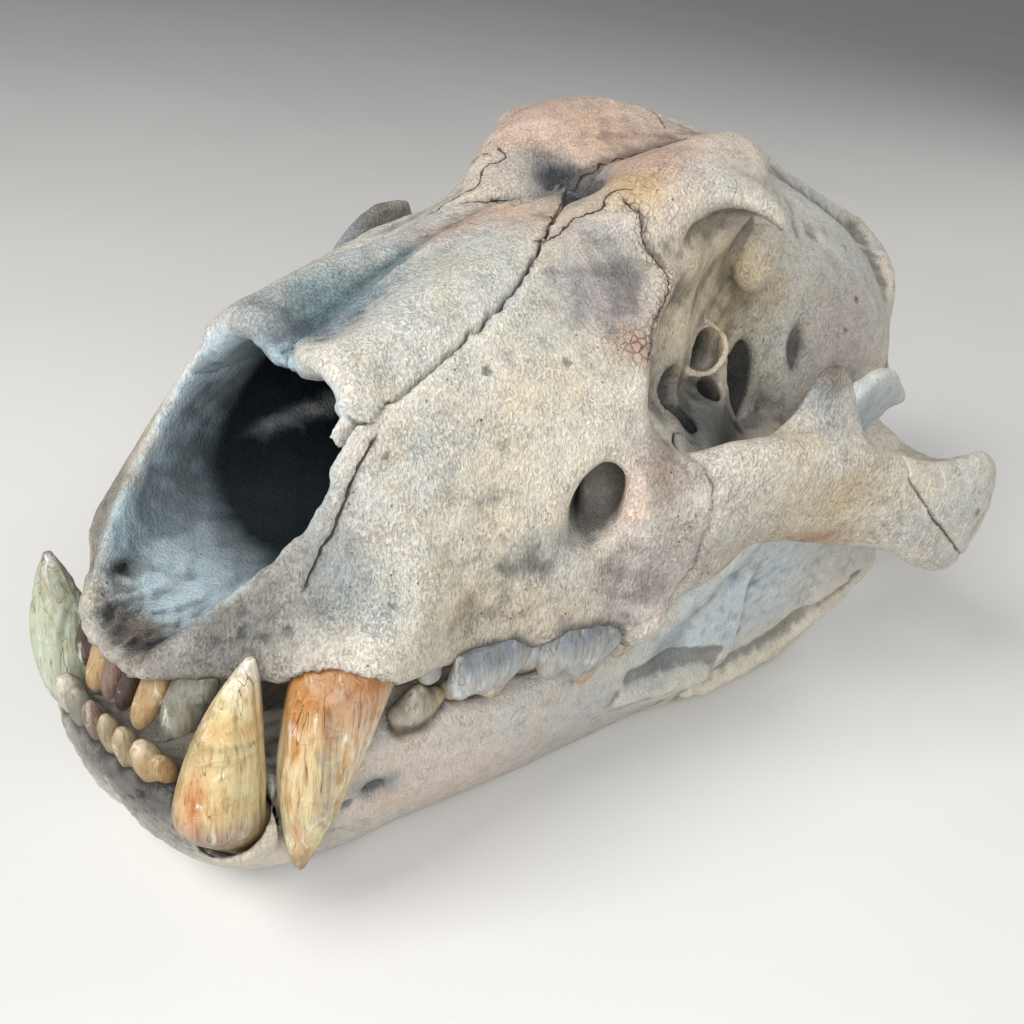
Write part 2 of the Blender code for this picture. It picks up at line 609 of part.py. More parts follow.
def loose_parts(obj):
    """Splits an object into its separate bodies, largest first."""
    pick(obj)
    bpy.ops.mesh.separate(type="LOOSE")
    found = list(bpy.context.selected_objects)
    return sorted(found, key=lambda o: -len(o.data.vertices))


def centre_x(obj):
    co = np.empty(len(obj.data.vertices) * 3)
    obj.data.vertices.foreach_get("co", co)
    return co.reshape(-1, 3)[:, 0].mean() / MM


def part_skull(skull):
    """Frees the nasal and cheek bones from the cranium at their sutures."""
    for sign, side in ((1, "left"), (-1, "right")):
        region = nasal_prism("region", 0.0)
        wider = nasal_prism("wider", GAP)
        if sign < 0:
            region, wider = (swapped(o) for o in (region, wider))
        nasal = common(copied(skull, "nasal_" + side), region)
        keep = loose_parts(nasal)
        for scrap in keep[1:]:
            bpy.data.objects.remove(scrap)
        keep[0].name = "nasal_" + side
        cut(skull, wider)
    for sign in (1, -1):
        walls = [curtain("front", JUGAL_FRONT, 40, 175), curtain("rear", JUGAL_REAR, 84, 140, axis=0)]
        for wall in walls:
            cut(skull, wall if sign > 0 else swapped(wall))
    pieces = loose_parts(skull)
    pieces[0].name = "cranium"
    for piece in pieces[1:]:
        if abs(centre_x(piece)) > 60 and len(piece.data.vertices) > 40:
            piece.name = "zygomatic_left" if centre_x(piece) > 0 else "zygomatic_right"
        else:
            bpy.data.objects.remove(piece)
    return pieces[0]


def swapped(obj):
    """The same object moved to the other side."""
    name = obj.name
    twin = mirrored(obj)
    bpy.data.objects.remove(obj)
    twin.name = name
    return twin


def material(name, colour, rough):
    made = bpy.data.materials.new(name)
    made.use_nodes = True
    shader = made.node_tree.nodes["Principled BSDF"]
    shader.inputs["Base Color"].default_value = (*colour, 1)
    shader.inputs["Roughness"].default_value = rough
    return made


COLOURS = (("cranium", (0.60, 0.54, 0.45)), ("nasal", (0.53, 0.53, 0.49)), ("zygomatic", (0.62, 0.52, 0.38)),
           ("mandible", (0.56, 0.50, 0.44)), ("upper_canine", (0.66, 0.40, 0.16)), ("lower_canine", (0.74, 0.62, 0.38)))


def main():
    skull = build_cranium()
    simplified(skull, 3250)
    skull = part_skull(skull)
    for t in both(upper_teeth()):
        added(skull, t)
    uppers = (("upper_canine_left", UPPER_CANINE, 1), ("upper_canine_right", UPPER_CANINE_RIGHT, -1))
    lowers = (("lower_canine_left", LOWER_CANINE, 1), ("lower_canine_right", LOWER_CANINE_RIGHT, -1))

    def grown(spec, sign, grow):
        cutter = canine_form("cutter", spec, grow)
        return cutter if sign > 0 else swapped(cutter)

    for name, spec, sign in uppers:
        cut(skull, grown(spec, sign, GAP))
    for name, spec, sign in lowers:
        cut(skull, grown(spec, sign, 3 * GAP))
    for sign, side, inward, rearward in ((1, "left", 2.0, -0.8), (-1, "right", 3.5, 2.5)):
        jaw = simplified(build_jaw(inward, rearward), 800)
        jaw.name = "mandible_" + side
        for t in lower_teeth():
            added(jaw, t)
        cut(jaw, prism("other_side", ((-60, -60), (GAP / 2, -60), (GAP / 2, 400), (-60, 400)), -60, 160))
        cut(jaw, prism("ground", ((-60, -60), (200, -60), (200, 400), (-60, 400)), -60, 0))
        spec = LOWER_CANINE if sign > 0 else LOWER_CANINE_RIGHT
        cut(jaw, grown(UPPER_CANINE if sign > 0 else UPPER_CANINE_RIGHT, 1, 4 * GAP))
        cut(jaw, grown(spec, 1, GAP))
        if sign < 0:
            swapped(jaw)
    for name, spec, sign in uppers + lowers:
        made = canine_form(name, spec)
        if sign < 0:
            swapped(made)
    for obj in list(bpy.data.objects):
        colour = next(c for key, c in COLOURS if obj.name.startswith(key))
        obj.data.materials.clear()
        obj.data.materials.append(material(obj.name, colour, 0.35 if "canine" in obj.name else 0.7))
        for vertex in obj.data.vertices:
            vertex.co.y -= ORIGIN_Y * MM


main()
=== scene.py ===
"""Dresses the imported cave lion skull: weathered bone, worn teeth, studio and camera.

All sizes below are design millimetres: x to the animal's left, y back from
the front teeth, z up from the surface that the lower jaw rests on.
"""

import logging
from dataclasses import dataclass, replace
from enum import Enum
from typing import Any, Callable, Sequence

import bmesh
import bpy
import numpy as np
from mathutils import Matrix
from mathutils.kdtree import KDTree


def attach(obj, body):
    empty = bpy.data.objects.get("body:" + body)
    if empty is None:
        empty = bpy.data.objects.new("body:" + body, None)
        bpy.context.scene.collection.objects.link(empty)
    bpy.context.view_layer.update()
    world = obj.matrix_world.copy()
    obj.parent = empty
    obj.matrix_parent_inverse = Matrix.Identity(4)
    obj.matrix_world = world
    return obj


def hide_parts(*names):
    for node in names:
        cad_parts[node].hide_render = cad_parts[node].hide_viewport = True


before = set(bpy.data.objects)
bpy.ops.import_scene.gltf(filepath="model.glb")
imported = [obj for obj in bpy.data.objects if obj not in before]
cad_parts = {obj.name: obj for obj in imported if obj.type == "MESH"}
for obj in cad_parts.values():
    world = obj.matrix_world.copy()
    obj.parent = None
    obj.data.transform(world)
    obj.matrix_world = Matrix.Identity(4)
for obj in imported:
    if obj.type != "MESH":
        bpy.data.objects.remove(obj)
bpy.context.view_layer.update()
LOG = logging.getLogger("cave_lion_skull")

MM = 0.001
ORIGIN_Y = 187.1
GAP = 0.3
ROUGH_VOXEL = 2.2
TOOTH_VOXEL = 0.45
CRANIUM_FACES = 192000
JAW_FACES = 150000
CANINE_SHINE = 0.14
SMALL_TOOTH_SHINE = 0.1
SEAM_REACH = 3.0
SOCKET_REACH = 5.0
SEAM_SINK = 0.28

Array = np.ndarray
Row = Sequence[float]
Object = bpy.types.Object


class Side(Enum):
    """The animal's left or right side, as the sign of x."""

    LEFT = 1
    RIGHT = -1

    @property
    def word(self) -> str:
        """The side's name in node names."""
        return self.name.lower()


# ---- curves through named stations
def slopes(t: Array, v: Array) -> Array:
    """Slopes for a cubic through unevenly spaced stations.

    Args:
        t: Station positions.
        v: One row of values per station.

    Returns:
        One row of slopes per station.
    """
    d = np.diff(v, axis=0) / np.diff(t)[:, None]
    h = np.diff(t)[:, None]
    m = np.empty_like(v)
    m[0], m[-1] = d[0], d[-1]
    m[1:-1] = (d[:-1] * h[1:] + d[1:] * h[:-1]) / (h[1:] + h[:-1])
    return m


def through(t: Row, v: Any, s: Array) -> Array:
    """Smooth curve through the stations.

    Args:
        t: Station positions, rising.
        v: One row of values per station.
        s: Where to read the curve.

    Returns:
        One row of values per entry of s.
    """
    t = np.asarray(t, float)
    v = np.asarray(v, float).reshape(len(t), -1)
    s = np.clip(np.asarray(s, float), t[0], t[-1])
    m = slopes(t, v)
    i = np.clip(np.searchsorted(t, s, side="right") - 1, 0, len(t) - 2)
    h = (t[i + 1] - t[i])[:, None]
    u = (s - t[i])[:, None] / h
    return ((2 * u**3 - 3 * u**2 + 1) * v[i] + (u**3 - 2 * u**2 + u) * h * m[i]
            + (3 * u**2 - 2 * u**3) * v[i + 1] + (u**3 - u**2) * h * m[i + 1])


def ring_of(points: Any, turn: Array) -> Array:
    """Closed smooth ring through control points, read at turns from 0 to 1."""
    p = np.asarray(points, float)
    wrapped = np.concatenate([p[-2:], p, p[:3]])
    return through(np.arange(-2, len(p) + 3), wrapped, np.mod(turn, 1.0) * len(p))


def wobble(points: Array, size: float, seed: float = 0.0) -> Array:
    """Cheap smooth noise from -1 to 1.

    Args:
        points: Positions in millimetres.
        size: Rough size of one swelling in millimetres.
        seed: Shifts the pattern.

    Returns:
        One value per position.
    """
    p = points / size + seed
    x, y, z = p[:, 0], p[:, 1], p[:, 2]
    total = np.sin(x * 2.1 + 1.3 * np.sin(y * 1.7 + 0.6)) * np.cos(y * 1.9 + 1.1 * np.sin(z * 2.3))
    total += np.sin(z * 2.2 + 1.7 * np.sin(x * 1.3 + 2.1)) * np.cos(x * 2.7 - y * 1.1)
    total += 0.6 * np.sin(y * 4.1 + 2.0 * np.sin(z * 3.1 + x)) * np.cos(x * 4.7 + z * 2.9)
    return total / 2.6


# ---- reading and writing vertex positions
def positions(obj: Object) -> Array:
    """The mesh's vertex positions in metres, one row each."""
    co = np.empty(len(obj.data.vertices) * 3)
    obj.data.vertices.foreach_get("co", co)
    return co.reshape(-1, 3)


def place_at(obj: Object, co: Array) -> None:
    """Writes vertex positions in metres back to the mesh."""
    obj.data.vertices.foreach_set("co", co.ravel())
    obj.data.update()


def within(points: Array, low: Array, high: Array) -> Array:
    """Indices of the points inside a box."""
    return np.where(((points > low) & (points < high)).all(axis=1))[0]


# ---- closed forms laid over a sphere primitive
def outward(obj: Object) -> None:
    """Turns the faces outward by the sign of the enclosed volume.

    Args:
        obj: The object.
    """
    bm = bmesh.new()
    bm.from_mesh(obj.data)
    if bm.calc_volume(signed=True) < 0:
        bmesh.ops.reverse_faces(bm, faces=bm.faces)
    bm.to_mesh(obj.data)
    bm.free()


def form(name: str, rings: int, segments: int, place: Callable[[Array, Array], Array]) -> Object:
    """A sphere primitive whose rings and meridians are laid over a shape.

    Args:
        name: Name of the new object.
        rings: Rings from pole to pole.
        segments: Meridians.
        place: Gives positions from a share along (0 to 1) and a turn (0 to 1, -1 at a pole).

    Returns:
        The closed object.
    """
    bpy.ops.object.select_all(action="DESELECT")
    bpy.ops.mesh.primitive_uv_sphere_add(segments=segments, ring_count=rings)
    obj = bpy.context.object
    obj.name = name
    co = positions(obj)
    ring = np.rint((0.5 - np.arcsin(np.clip(co[:, 2], -1, 1)) / np.pi) * rings)
    turn = np.mod(np.arctan2(co[:, 1], co[:, 0]) / (2 * np.pi), 1.0)
    turn[(ring == 0) | (ring == rings)] = -1
    t = (np.clip(ring, 1, rings - 1) - 1) / (rings - 2)
    place_at(obj, place(t, turn) * MM)
    outward(obj)
    return obj


def section_form(name: str, stations: Sequence[Row], half_ring: Callable[[Row], Any],
                 rings: int, segments: int, whole: bool = True) -> Object:
    """Loft along y of rings made from named section points.

    Args:
        name: Name of the new object.
        stations: One row per section, starting with its y.
        half_ring: Gives the section's (x, z) points from its row.
        rings: Rings along y.
        segments: Points round each ring.
        whole: Whether the half section is mirrored into a whole one.

    Returns:
        The closed object.
    """
    y = np.array([s[0] for s in stations], float)
    flat = np.array([np.ravel(half_ring(s)) for s in stations])

    def place(t: Array, turn: Array) -> Array:
        """Positions on the loft for shares along it and turns round it."""
        at = y[0] + t * (y[-1] - y[0])
        rows = through(y, flat, at).reshape(len(t), -1, 2)
        out = np.empty((len(t), 3))
        for k, half in enumerate(rows):
            ring = np.concatenate([half, half[-2:0:-1] * [-1, 1]]) if whole else half
            xz = ring.mean(axis=0) if turn[k] < 0 else ring_of(ring, turn[k:k + 1])[0]
            out[k] = (xz[0], at[k], xz[1])
        return out

    return form(name, rings, segments, place)


def sweep(name: str, path: Sequence[Row], rings: int = 30, segments: int = 20,
          square: float = 2.0, level: bool = False) -> Object:
    """Rounded bar along a path.

    Args:
        name: Name of the new object.
        path: Rows of x, y, z, half width, half height and lean in degrees.
        rings: Rings along the path.
        segments: Points round each ring.
        square: 2 gives an oval section, more a squarer one.
        level: Lays every section flat, half width along x and half height along y.

    Returns:
        The closed object.
    """
    p = np.asarray([list(s) + [0] * (6 - len(s)) for s in path], float)
    run = np.r_[0, np.cumsum(np.linalg.norm(np.diff(p[:, :3], axis=0), axis=1))]
    run /= run[-1]
    overall = p[-1, :3] - p[0, :3]
    steep = abs(overall[2]) > 0.72 * np.linalg.norm(overall)
    up = np.array([0.0, 1.0, 0.0] if steep else [0.0, 0.0, 1.0])

    def place(t: Array, turn: Array) -> Array:
        """Positions on the bar for shares along it and turns round it."""
        s = through(run, p, t)
        d = through(run, p[:, :3], np.minimum(t + 1e-3, 1)) - through(run, p[:, :3], np.maximum(t - 1e-3, 0))
        d /= np.linalg.norm(d, axis=1)[:, None]
        side = np.cross(d, up)
        side /= np.linalg.norm(side, axis=1)[:, None]
        high = np.cross(side, d)
        if level:
            side, high = np.zeros_like(d) + [1.0, 0, 0], np.zeros_like(d) + [0, 1.0, 0]
        lean = np.radians(s[:, 5])[:, None]
        a = side * np.cos(lean) + high * np.sin(lean)
        b = -side * np.sin(lean) + high * np.cos(lean)
        ang = 2 * np.pi * turn
        cx = np.sign(np.cos(ang)) * np.abs(np.cos(ang)) ** (2 / square)
        sx = np.sign(np.sin(ang)) * np.abs(np.sin(ang)) ** (2 / square)
        cx[turn < 0] = 0
        sx[turn < 0] = 0
        return s[:, :3] + a * (s[:, 3] * cx)[:, None] + b * (s[:, 4] * sx)[:, None]

    return form(name, rings, segments, place)


def ball(name: str, centre: Row, radii: Row, lean: float = 0.0) -> Object:
    """Ellipsoid turned about the vertical by lean degrees.

    Args:
        name: Name of the new object.
        centre: Middle of the form.
        radii: Half sizes along x, y and z.
        lean: Turn in degrees.

    Returns:
        The closed object.
    """
    c, s = np.cos(np.radians(lean)), np.sin(np.radians(lean))

    def place(t: Array, turn: Array) -> Array:
        """Positions on the ellipsoid for shares down it and turns round it."""
        lat = np.pi * (0.06 + 0.88 * t)
        lon = 2 * np.pi * np.maximum(turn, 0)
        r = np.where(turn < 0, 0, 1.0)
        x = np.sin(lat) * np.cos(lon) * r * radii[0]
        y = np.sin(lat) * np.sin(lon) * r * radii[1]
        z = np.where(turn < 0, np.sign(np.cos(lat)), np.cos(lat)) * radii[2]
        return np.stack([centre[0] + x * c - y * s, centre[1] + x * s + y * c, centre[2] + z], axis=1)

    return form(name, 16, 24, place)


def loop(name: str, centre: Row, across: float, tall: float, thick: float) -> Object:
    """Ring of rounded bar that faces forward, outward and up.

    Args:
        name: Name of the new object.
        centre: Middle of the ring.
        across: Half breadth of the ring.
        tall: Half height of the ring.
        thick: Half thickness of the bar.

    Returns:
        The closed object.
    """
    side, high = np.array([0.83, 0.56, 0.0]), np.array([-0.32, 0.47, 0.82])
    path = [(*(np.array(centre) + side * across * np.cos(a) + high * tall * np.sin(a)), thick, thick)
            for a in np.linspace(0, 2 * np.pi, 25)]
    return sweep(name, path, 60, 12)


def prism(name: str, outline: Any, low: float, high: float, axis: int = 2) -> Object:
    """Straight-sided body over a closed outline, between two levels along an axis.

    Args:
        name: Name of the new object.
        outline: Corner points in the other two axes.
        low: Lower level.
        high: Upper level.
        axis: Axis that the levels are on.

    Returns:
        The closed object.
    """
    n = len(outline)
    others = [k for k in (0, 1, 2) if k != axis]
    points = np.zeros((2 * n, 3))
    for k, level in enumerate((low, high)):
        points[k * n:(k + 1) * n, others] = outline
        points[k * n:(k + 1) * n, axis] = level
    faces = [tuple(range(n))[::-1], tuple(range(n, 2 * n))]
    faces += [(k, (k + 1) % n, n + (k + 1) % n, n + k) for k in range(n)]
    mesh = bpy.data.meshes.new(name)
    mesh.from_pydata((points * MM).tolist(), [], faces)
    obj = bpy.data.objects.new(name, mesh)
    bpy.context.scene.collection.objects.link(obj)
    outward(obj)
    return obj


# ---- working on objects
def pick(obj: Object) -> None:
    """Selects one object alone and makes it active."""
    bpy.ops.object.select_all(action="DESELECT")
    obj.select_set(True)
    bpy.context.view_layer.objects.active = obj


def apply(obj: Object, kind: str, **settings: Any) -> Object:
    """Adds one modifier with these settings and applies it."""
    pick(obj)
    modifier = obj.modifiers.new(kind.lower(), kind)
    for key, value in settings.items():
        setattr(modifier, key, value)
    bpy.ops.object.modifier_apply(modifier=modifier.name)
    return obj


def boolean(obj: Object, other: Object, operation: str) -> Object:
    """Cuts, adds or keeps what is common, and uses the other object up."""
    apply(obj, "BOOLEAN", operation=operation, solver="EXACT", object=other)
    bpy.data.objects.remove(other)
    return obj


def fused(obj: Object, voxel: float) -> Object:
    """One skin over overlapping closed forms."""
    return apply(obj, "REMESH", mode="VOXEL", voxel_size=voxel * MM, adaptivity=0.0)


def copied(obj: Object, name: str) -> Object:
    """A copy with its own mesh."""
    pick(obj)
    bpy.ops.object.duplicate()
    bpy.context.object.name = name
    return bpy.context.object


def mirrored(obj: Object) -> Object:
    """A copy on the animal's other side."""
    twin = copied(obj, obj.name + "_other")
    place_at(twin, positions(twin) * [-1, 1, 1])
    twin.data.flip_normals()
    twin.data.update()
    return twin


def swapped(obj: Object) -> Object:
    """The same object moved to the other side."""
    name = obj.name
    twin = mirrored(obj)
    bpy.data.objects.remove(obj)
    twin.name = name
    return twin


def both(objects: Sequence[Object]) -> list[Object]:
    """The objects and their mirrored copies."""
    return list(objects) + [mirrored(o) for o in objects]


def joined(name: str, objects: Sequence[Object]) -> Object:
    """Joins several objects into one.

    Args:
        name: Name of the new object.
        objects: The objects.

    Returns:
        The joined object.
    """
    bpy.ops.object.select_all(action="DESELECT")
    for o in objects:
        o.select_set(True)
    bpy.context.view_layer.objects.active = objects[0]
    bpy.ops.object.join()
    objects[0].name = name
    return objects[0]


def loose_parts(obj: Object) -> list[Object]:
    """Splits an object into its separate bodies, largest first."""
    pick(obj)
    bpy.ops.mesh.separate(type="LOOSE")
    return sorted(bpy.context.selected_objects, key=lambda o: -len(o.data.vertices))


# ---- sculpting
class Skin:
    """One mesh's surface, read once, sculpted as arrays and written back."""

    def __init__(self, obj: Object) -> None:
        """Reads the mesh in millimetres.

        Args:
            obj: The object.
        """
        self.obj = obj
        self.count = len(obj.data.vertices)
        self.points = positions(obj) / MM
        ends = np.empty(len(obj.data.edges) * 2, np.int32)
        obj.data.edges.foreach_get("vertices", ends)
        self.edges = ends.reshape(-1, 2)
        self.degree = np.maximum(np.bincount(self.edges.ravel(), minlength=self.count), 1)[:, None]
        self.read_normals()

    def read_normals(self) -> None:
        """Refreshes the normals from the mesh."""
        normal = np.empty(self.count * 3)
        self.obj.data.vertices.foreach_get("normal", normal)
        self.normals = normal.reshape(-1, 3)

    def commit(self) -> None:
        """Writes the points back and refreshes the normals."""
        place_at(self.obj, self.points * MM)
        self.read_normals()

    def spread(self, values: Array) -> Array:
        """Mean of each vertex's neighbours."""
        total = np.zeros_like(values)
        for k in range(values.shape[1]):
            total[:, k] += np.bincount(self.edges[:, 0], values[self.edges[:, 1], k], self.count)
            total[:, k] += np.bincount(self.edges[:, 1], values[self.edges[:, 0], k], self.count)
        return total / self.degree

    def smooth(self, steps: int, rate: float = 0.5, ridges: float = 0.55) -> None:
        """Evens the surface, filling creases fully and lowering ridges less."""
        for _ in range(steps):
            move = self.spread(self.points) - self.points
            along = (move * self.normals).sum(axis=1)
            share = np.where(along > 0, rate, rate * ridges)[:, None]
            self.points = self.points + share * move
            self.commit()

    def shift(self, centre: Row, radii: Row, move: Row) -> None:
        """Moves the surface near a centre, fading out over the radii."""
        far = (((self.points - centre) / radii) ** 2).sum(axis=1)
        self.points = self.points + (np.clip(1 - far, 0, 1) ** 2)[:, None] * np.array(move, float)
        self.commit()

    def press(self, centre: Row, radii: Any, depth: float, sharp: float = 2.0) -> None:
        """Pushes the surface in along its normal, or out where depth is negative."""
        far = np.sqrt((((self.points - centre) / radii) ** 2).sum(axis=1))
        self.points = self.points - self.normals * (depth * np.exp(-far**sharp))[:, None]

    def laid(self, path: Sequence[Row], step: float = 0.8) -> tuple[Array, Array, Array]:
        """A path laid on the surface.

        Args:
            path: Points near the surface.
            step: Spacing of the laid points.

        Returns:
            Points on the surface, their cross directions and the run along the path.
        """
        p = np.asarray(path, float)
        run = np.r_[0, np.cumsum(np.linalg.norm(np.diff(p, axis=0), axis=1))]
        q = through(run, p, np.arange(0, run[-1], step))
        low, high = q.min(axis=0) - 12, q.max(axis=0) + 12
        near = within(self.points, low, high)
        if len(near) == 0:
            return q[:0], q[:0], np.zeros(0)
        found = near[np.array([np.argmin(((self.points[near] - c) ** 2).sum(axis=1)) for c in q])]
        on, normal = self.points[found], self.normals[found]
        for _ in range(3):
            on[1:-1] = (on[:-2] + on[1:-1] + on[2:]) / 3
            normal[1:-1] = (normal[:-2] + normal[1:-1] + normal[2:]) / 3
        ahead = np.gradient(on, axis=0)
        ahead /= np.maximum(np.linalg.norm(ahead, axis=1), 1e-6)[:, None]
        cross = np.cross(normal, ahead)
        cross /= np.maximum(np.linalg.norm(cross, axis=1), 1e-6)[:, None]
        return on, cross, np.arange(len(on)) * step

    def across(self, path: Sequence[Row], reach: float = 6.0, fade: float = 3.0) -> tuple[Array, Array]:
        """Signed distance across a line on the surface, and a mask that fades at its ends.

        Args:
            path: Points near the surface.
            reach: How far from the line the values hold, in millimetres.
            fade: Length over which the line fades at its ends.

        Returns:
            The distances, clipped at the reach, and the masks.
        """
        distance = np.full(self.count, reach)
        mask = np.zeros(self.count)
        on, cross, run = self.laid(path)
        if len(on) < 4:
            return distance, mask
        low, high = on.min(axis=0) - reach, on.max(axis=0) + reach
        near = within(self.points, low, high)
        for chunk in np.array_split(near, max(1, len(near) // 4000)):
            gap = self.points[chunk][:, None, :] - on[None]
            square = (gap**2).sum(axis=2)
            k = square.argmin(axis=1)
            rows = np.arange(len(chunk))
            far = np.sqrt(square[rows, k])
            ok = far < reach
            signed = (gap[rows, k] * cross[k]).sum(axis=1)
            end = np.minimum(run[k], run[-1] - run[k])
            distance[chunk[ok]] = np.clip(signed[ok], -reach, reach)
            mask[chunk[ok]] = (np.clip(end / fade, 0, 1) * np.clip(2 - 2 * far / reach, 0, 1))[ok]
        return distance, mask

    def groove(self, path: Sequence[Row], width: float, depth: float, fade: float = 3.0) -> None:
        """Cuts a soft groove along a line, or raises a ridge where depth is negative."""
        distance, mask = self.across(path, reach=width * 3, fade=fade)
        self.points = self.points - self.normals * (depth * mask * np.exp(-(distance / width) ** 2))[:, None]

    def raised(self, path: Any, width: float, height: float) -> None:
        """Lifts the upward faces along a line, or lowers them where height is negative."""
        distance, mask = self.across(path, reach=width * 3, fade=5.0)
        self.points[:, 2] += height * mask * np.exp(-(distance / width) ** 2) * np.clip(self.normals[:, 2] * 2, 0, 1)

    def hollows(self, passes: int = 3) -> Array:
        """How hollow (positive) or raised (negative) the surface is at each vertex."""
        move = self.spread(self.points) - self.points
        bend = (move * self.normals).sum(axis=1)[:, None]
        for _ in range(passes):
            bend = 0.5 * bend + 0.5 * self.spread(bend)
        return bend[:, 0]

    def write(self, name: str, values: Array) -> None:
        """Stores values on the mesh: a colour for four columns, else a vector."""
        kind, key = ("FLOAT_COLOR", "color") if values.shape[1] == 4 else ("FLOAT_VECTOR", "vector")
        made = self.obj.data.attributes.new(name, kind, "POINT")
        made.data.foreach_set(key, np.ascontiguousarray(values, np.float32).ravel())


def linear(colour: Row) -> Array:
    """A 0-255 screen colour as scene-linear values."""
    c = np.asarray(colour, float) / 255
    return np.where(c <= 0.04045, c / 12.92, ((c + 0.055) / 1.055) ** 2.4)


def patched(colour: Array, points: Array, tone_patches: Sequence[Any], edge: float) -> Array:
    """Lays patches of tone over a base colour.

    Args:
        colour: Scene-linear base colours.
        points: Positions in millimetres.
        tone_patches: Rows of tone, centre, reach and strength.
        edge: 1 gives soft patches, more gives firmer ones.

    Returns:
        The stained colours with an alpha of one.
    """
    for tone, centre, reach, strength in tone_patches:
        far = (((points - centre) / np.asarray(reach, float)) ** 2).sum(axis=1)
        share = (strength * np.exp(-(far**edge)))[:, None]
        colour = colour * (1 - share) + linear(tone.value) * share
    return np.concatenate([colour, np.ones((len(points), 1))], axis=1)


# ---- tones of the bone and the patches that carry them, a few of which are painted shade and painted light
class Tone(Enum):
    """Named tones of the old bone, as screen colours."""

    BONE = (214, 208, 198)
    CREAM = (230, 221, 200)
    PALE = (214, 216, 210)
    GREY = (188, 192, 192)
    ASH = (142, 143, 138)
    TEAL = (104, 130, 138)
    STEEL = (92, 112, 128)
    INK = (56, 66, 78)
    SOOT = (84, 82, 80)
    PEACH = (236, 200, 174)
    ROSE = (178, 150, 138)
    BLUSH = (224, 198, 186)
    VIOLET = (146, 134, 146)
    PLUM = (138, 122, 118)
    OCHRE = (196, 170, 118)
    TAN = (180, 162, 134)
    OLIVE = (150, 138, 108)
    UMBER = (98, 82, 66)
    RUST = (170, 92, 48)
    AMBER = (192, 120, 30)
    HAZE = (178, 198, 208)
    BUFF = (250, 234, 204)
    ICE = (204, 220, 228)
    LILAC = (178, 164, 164)


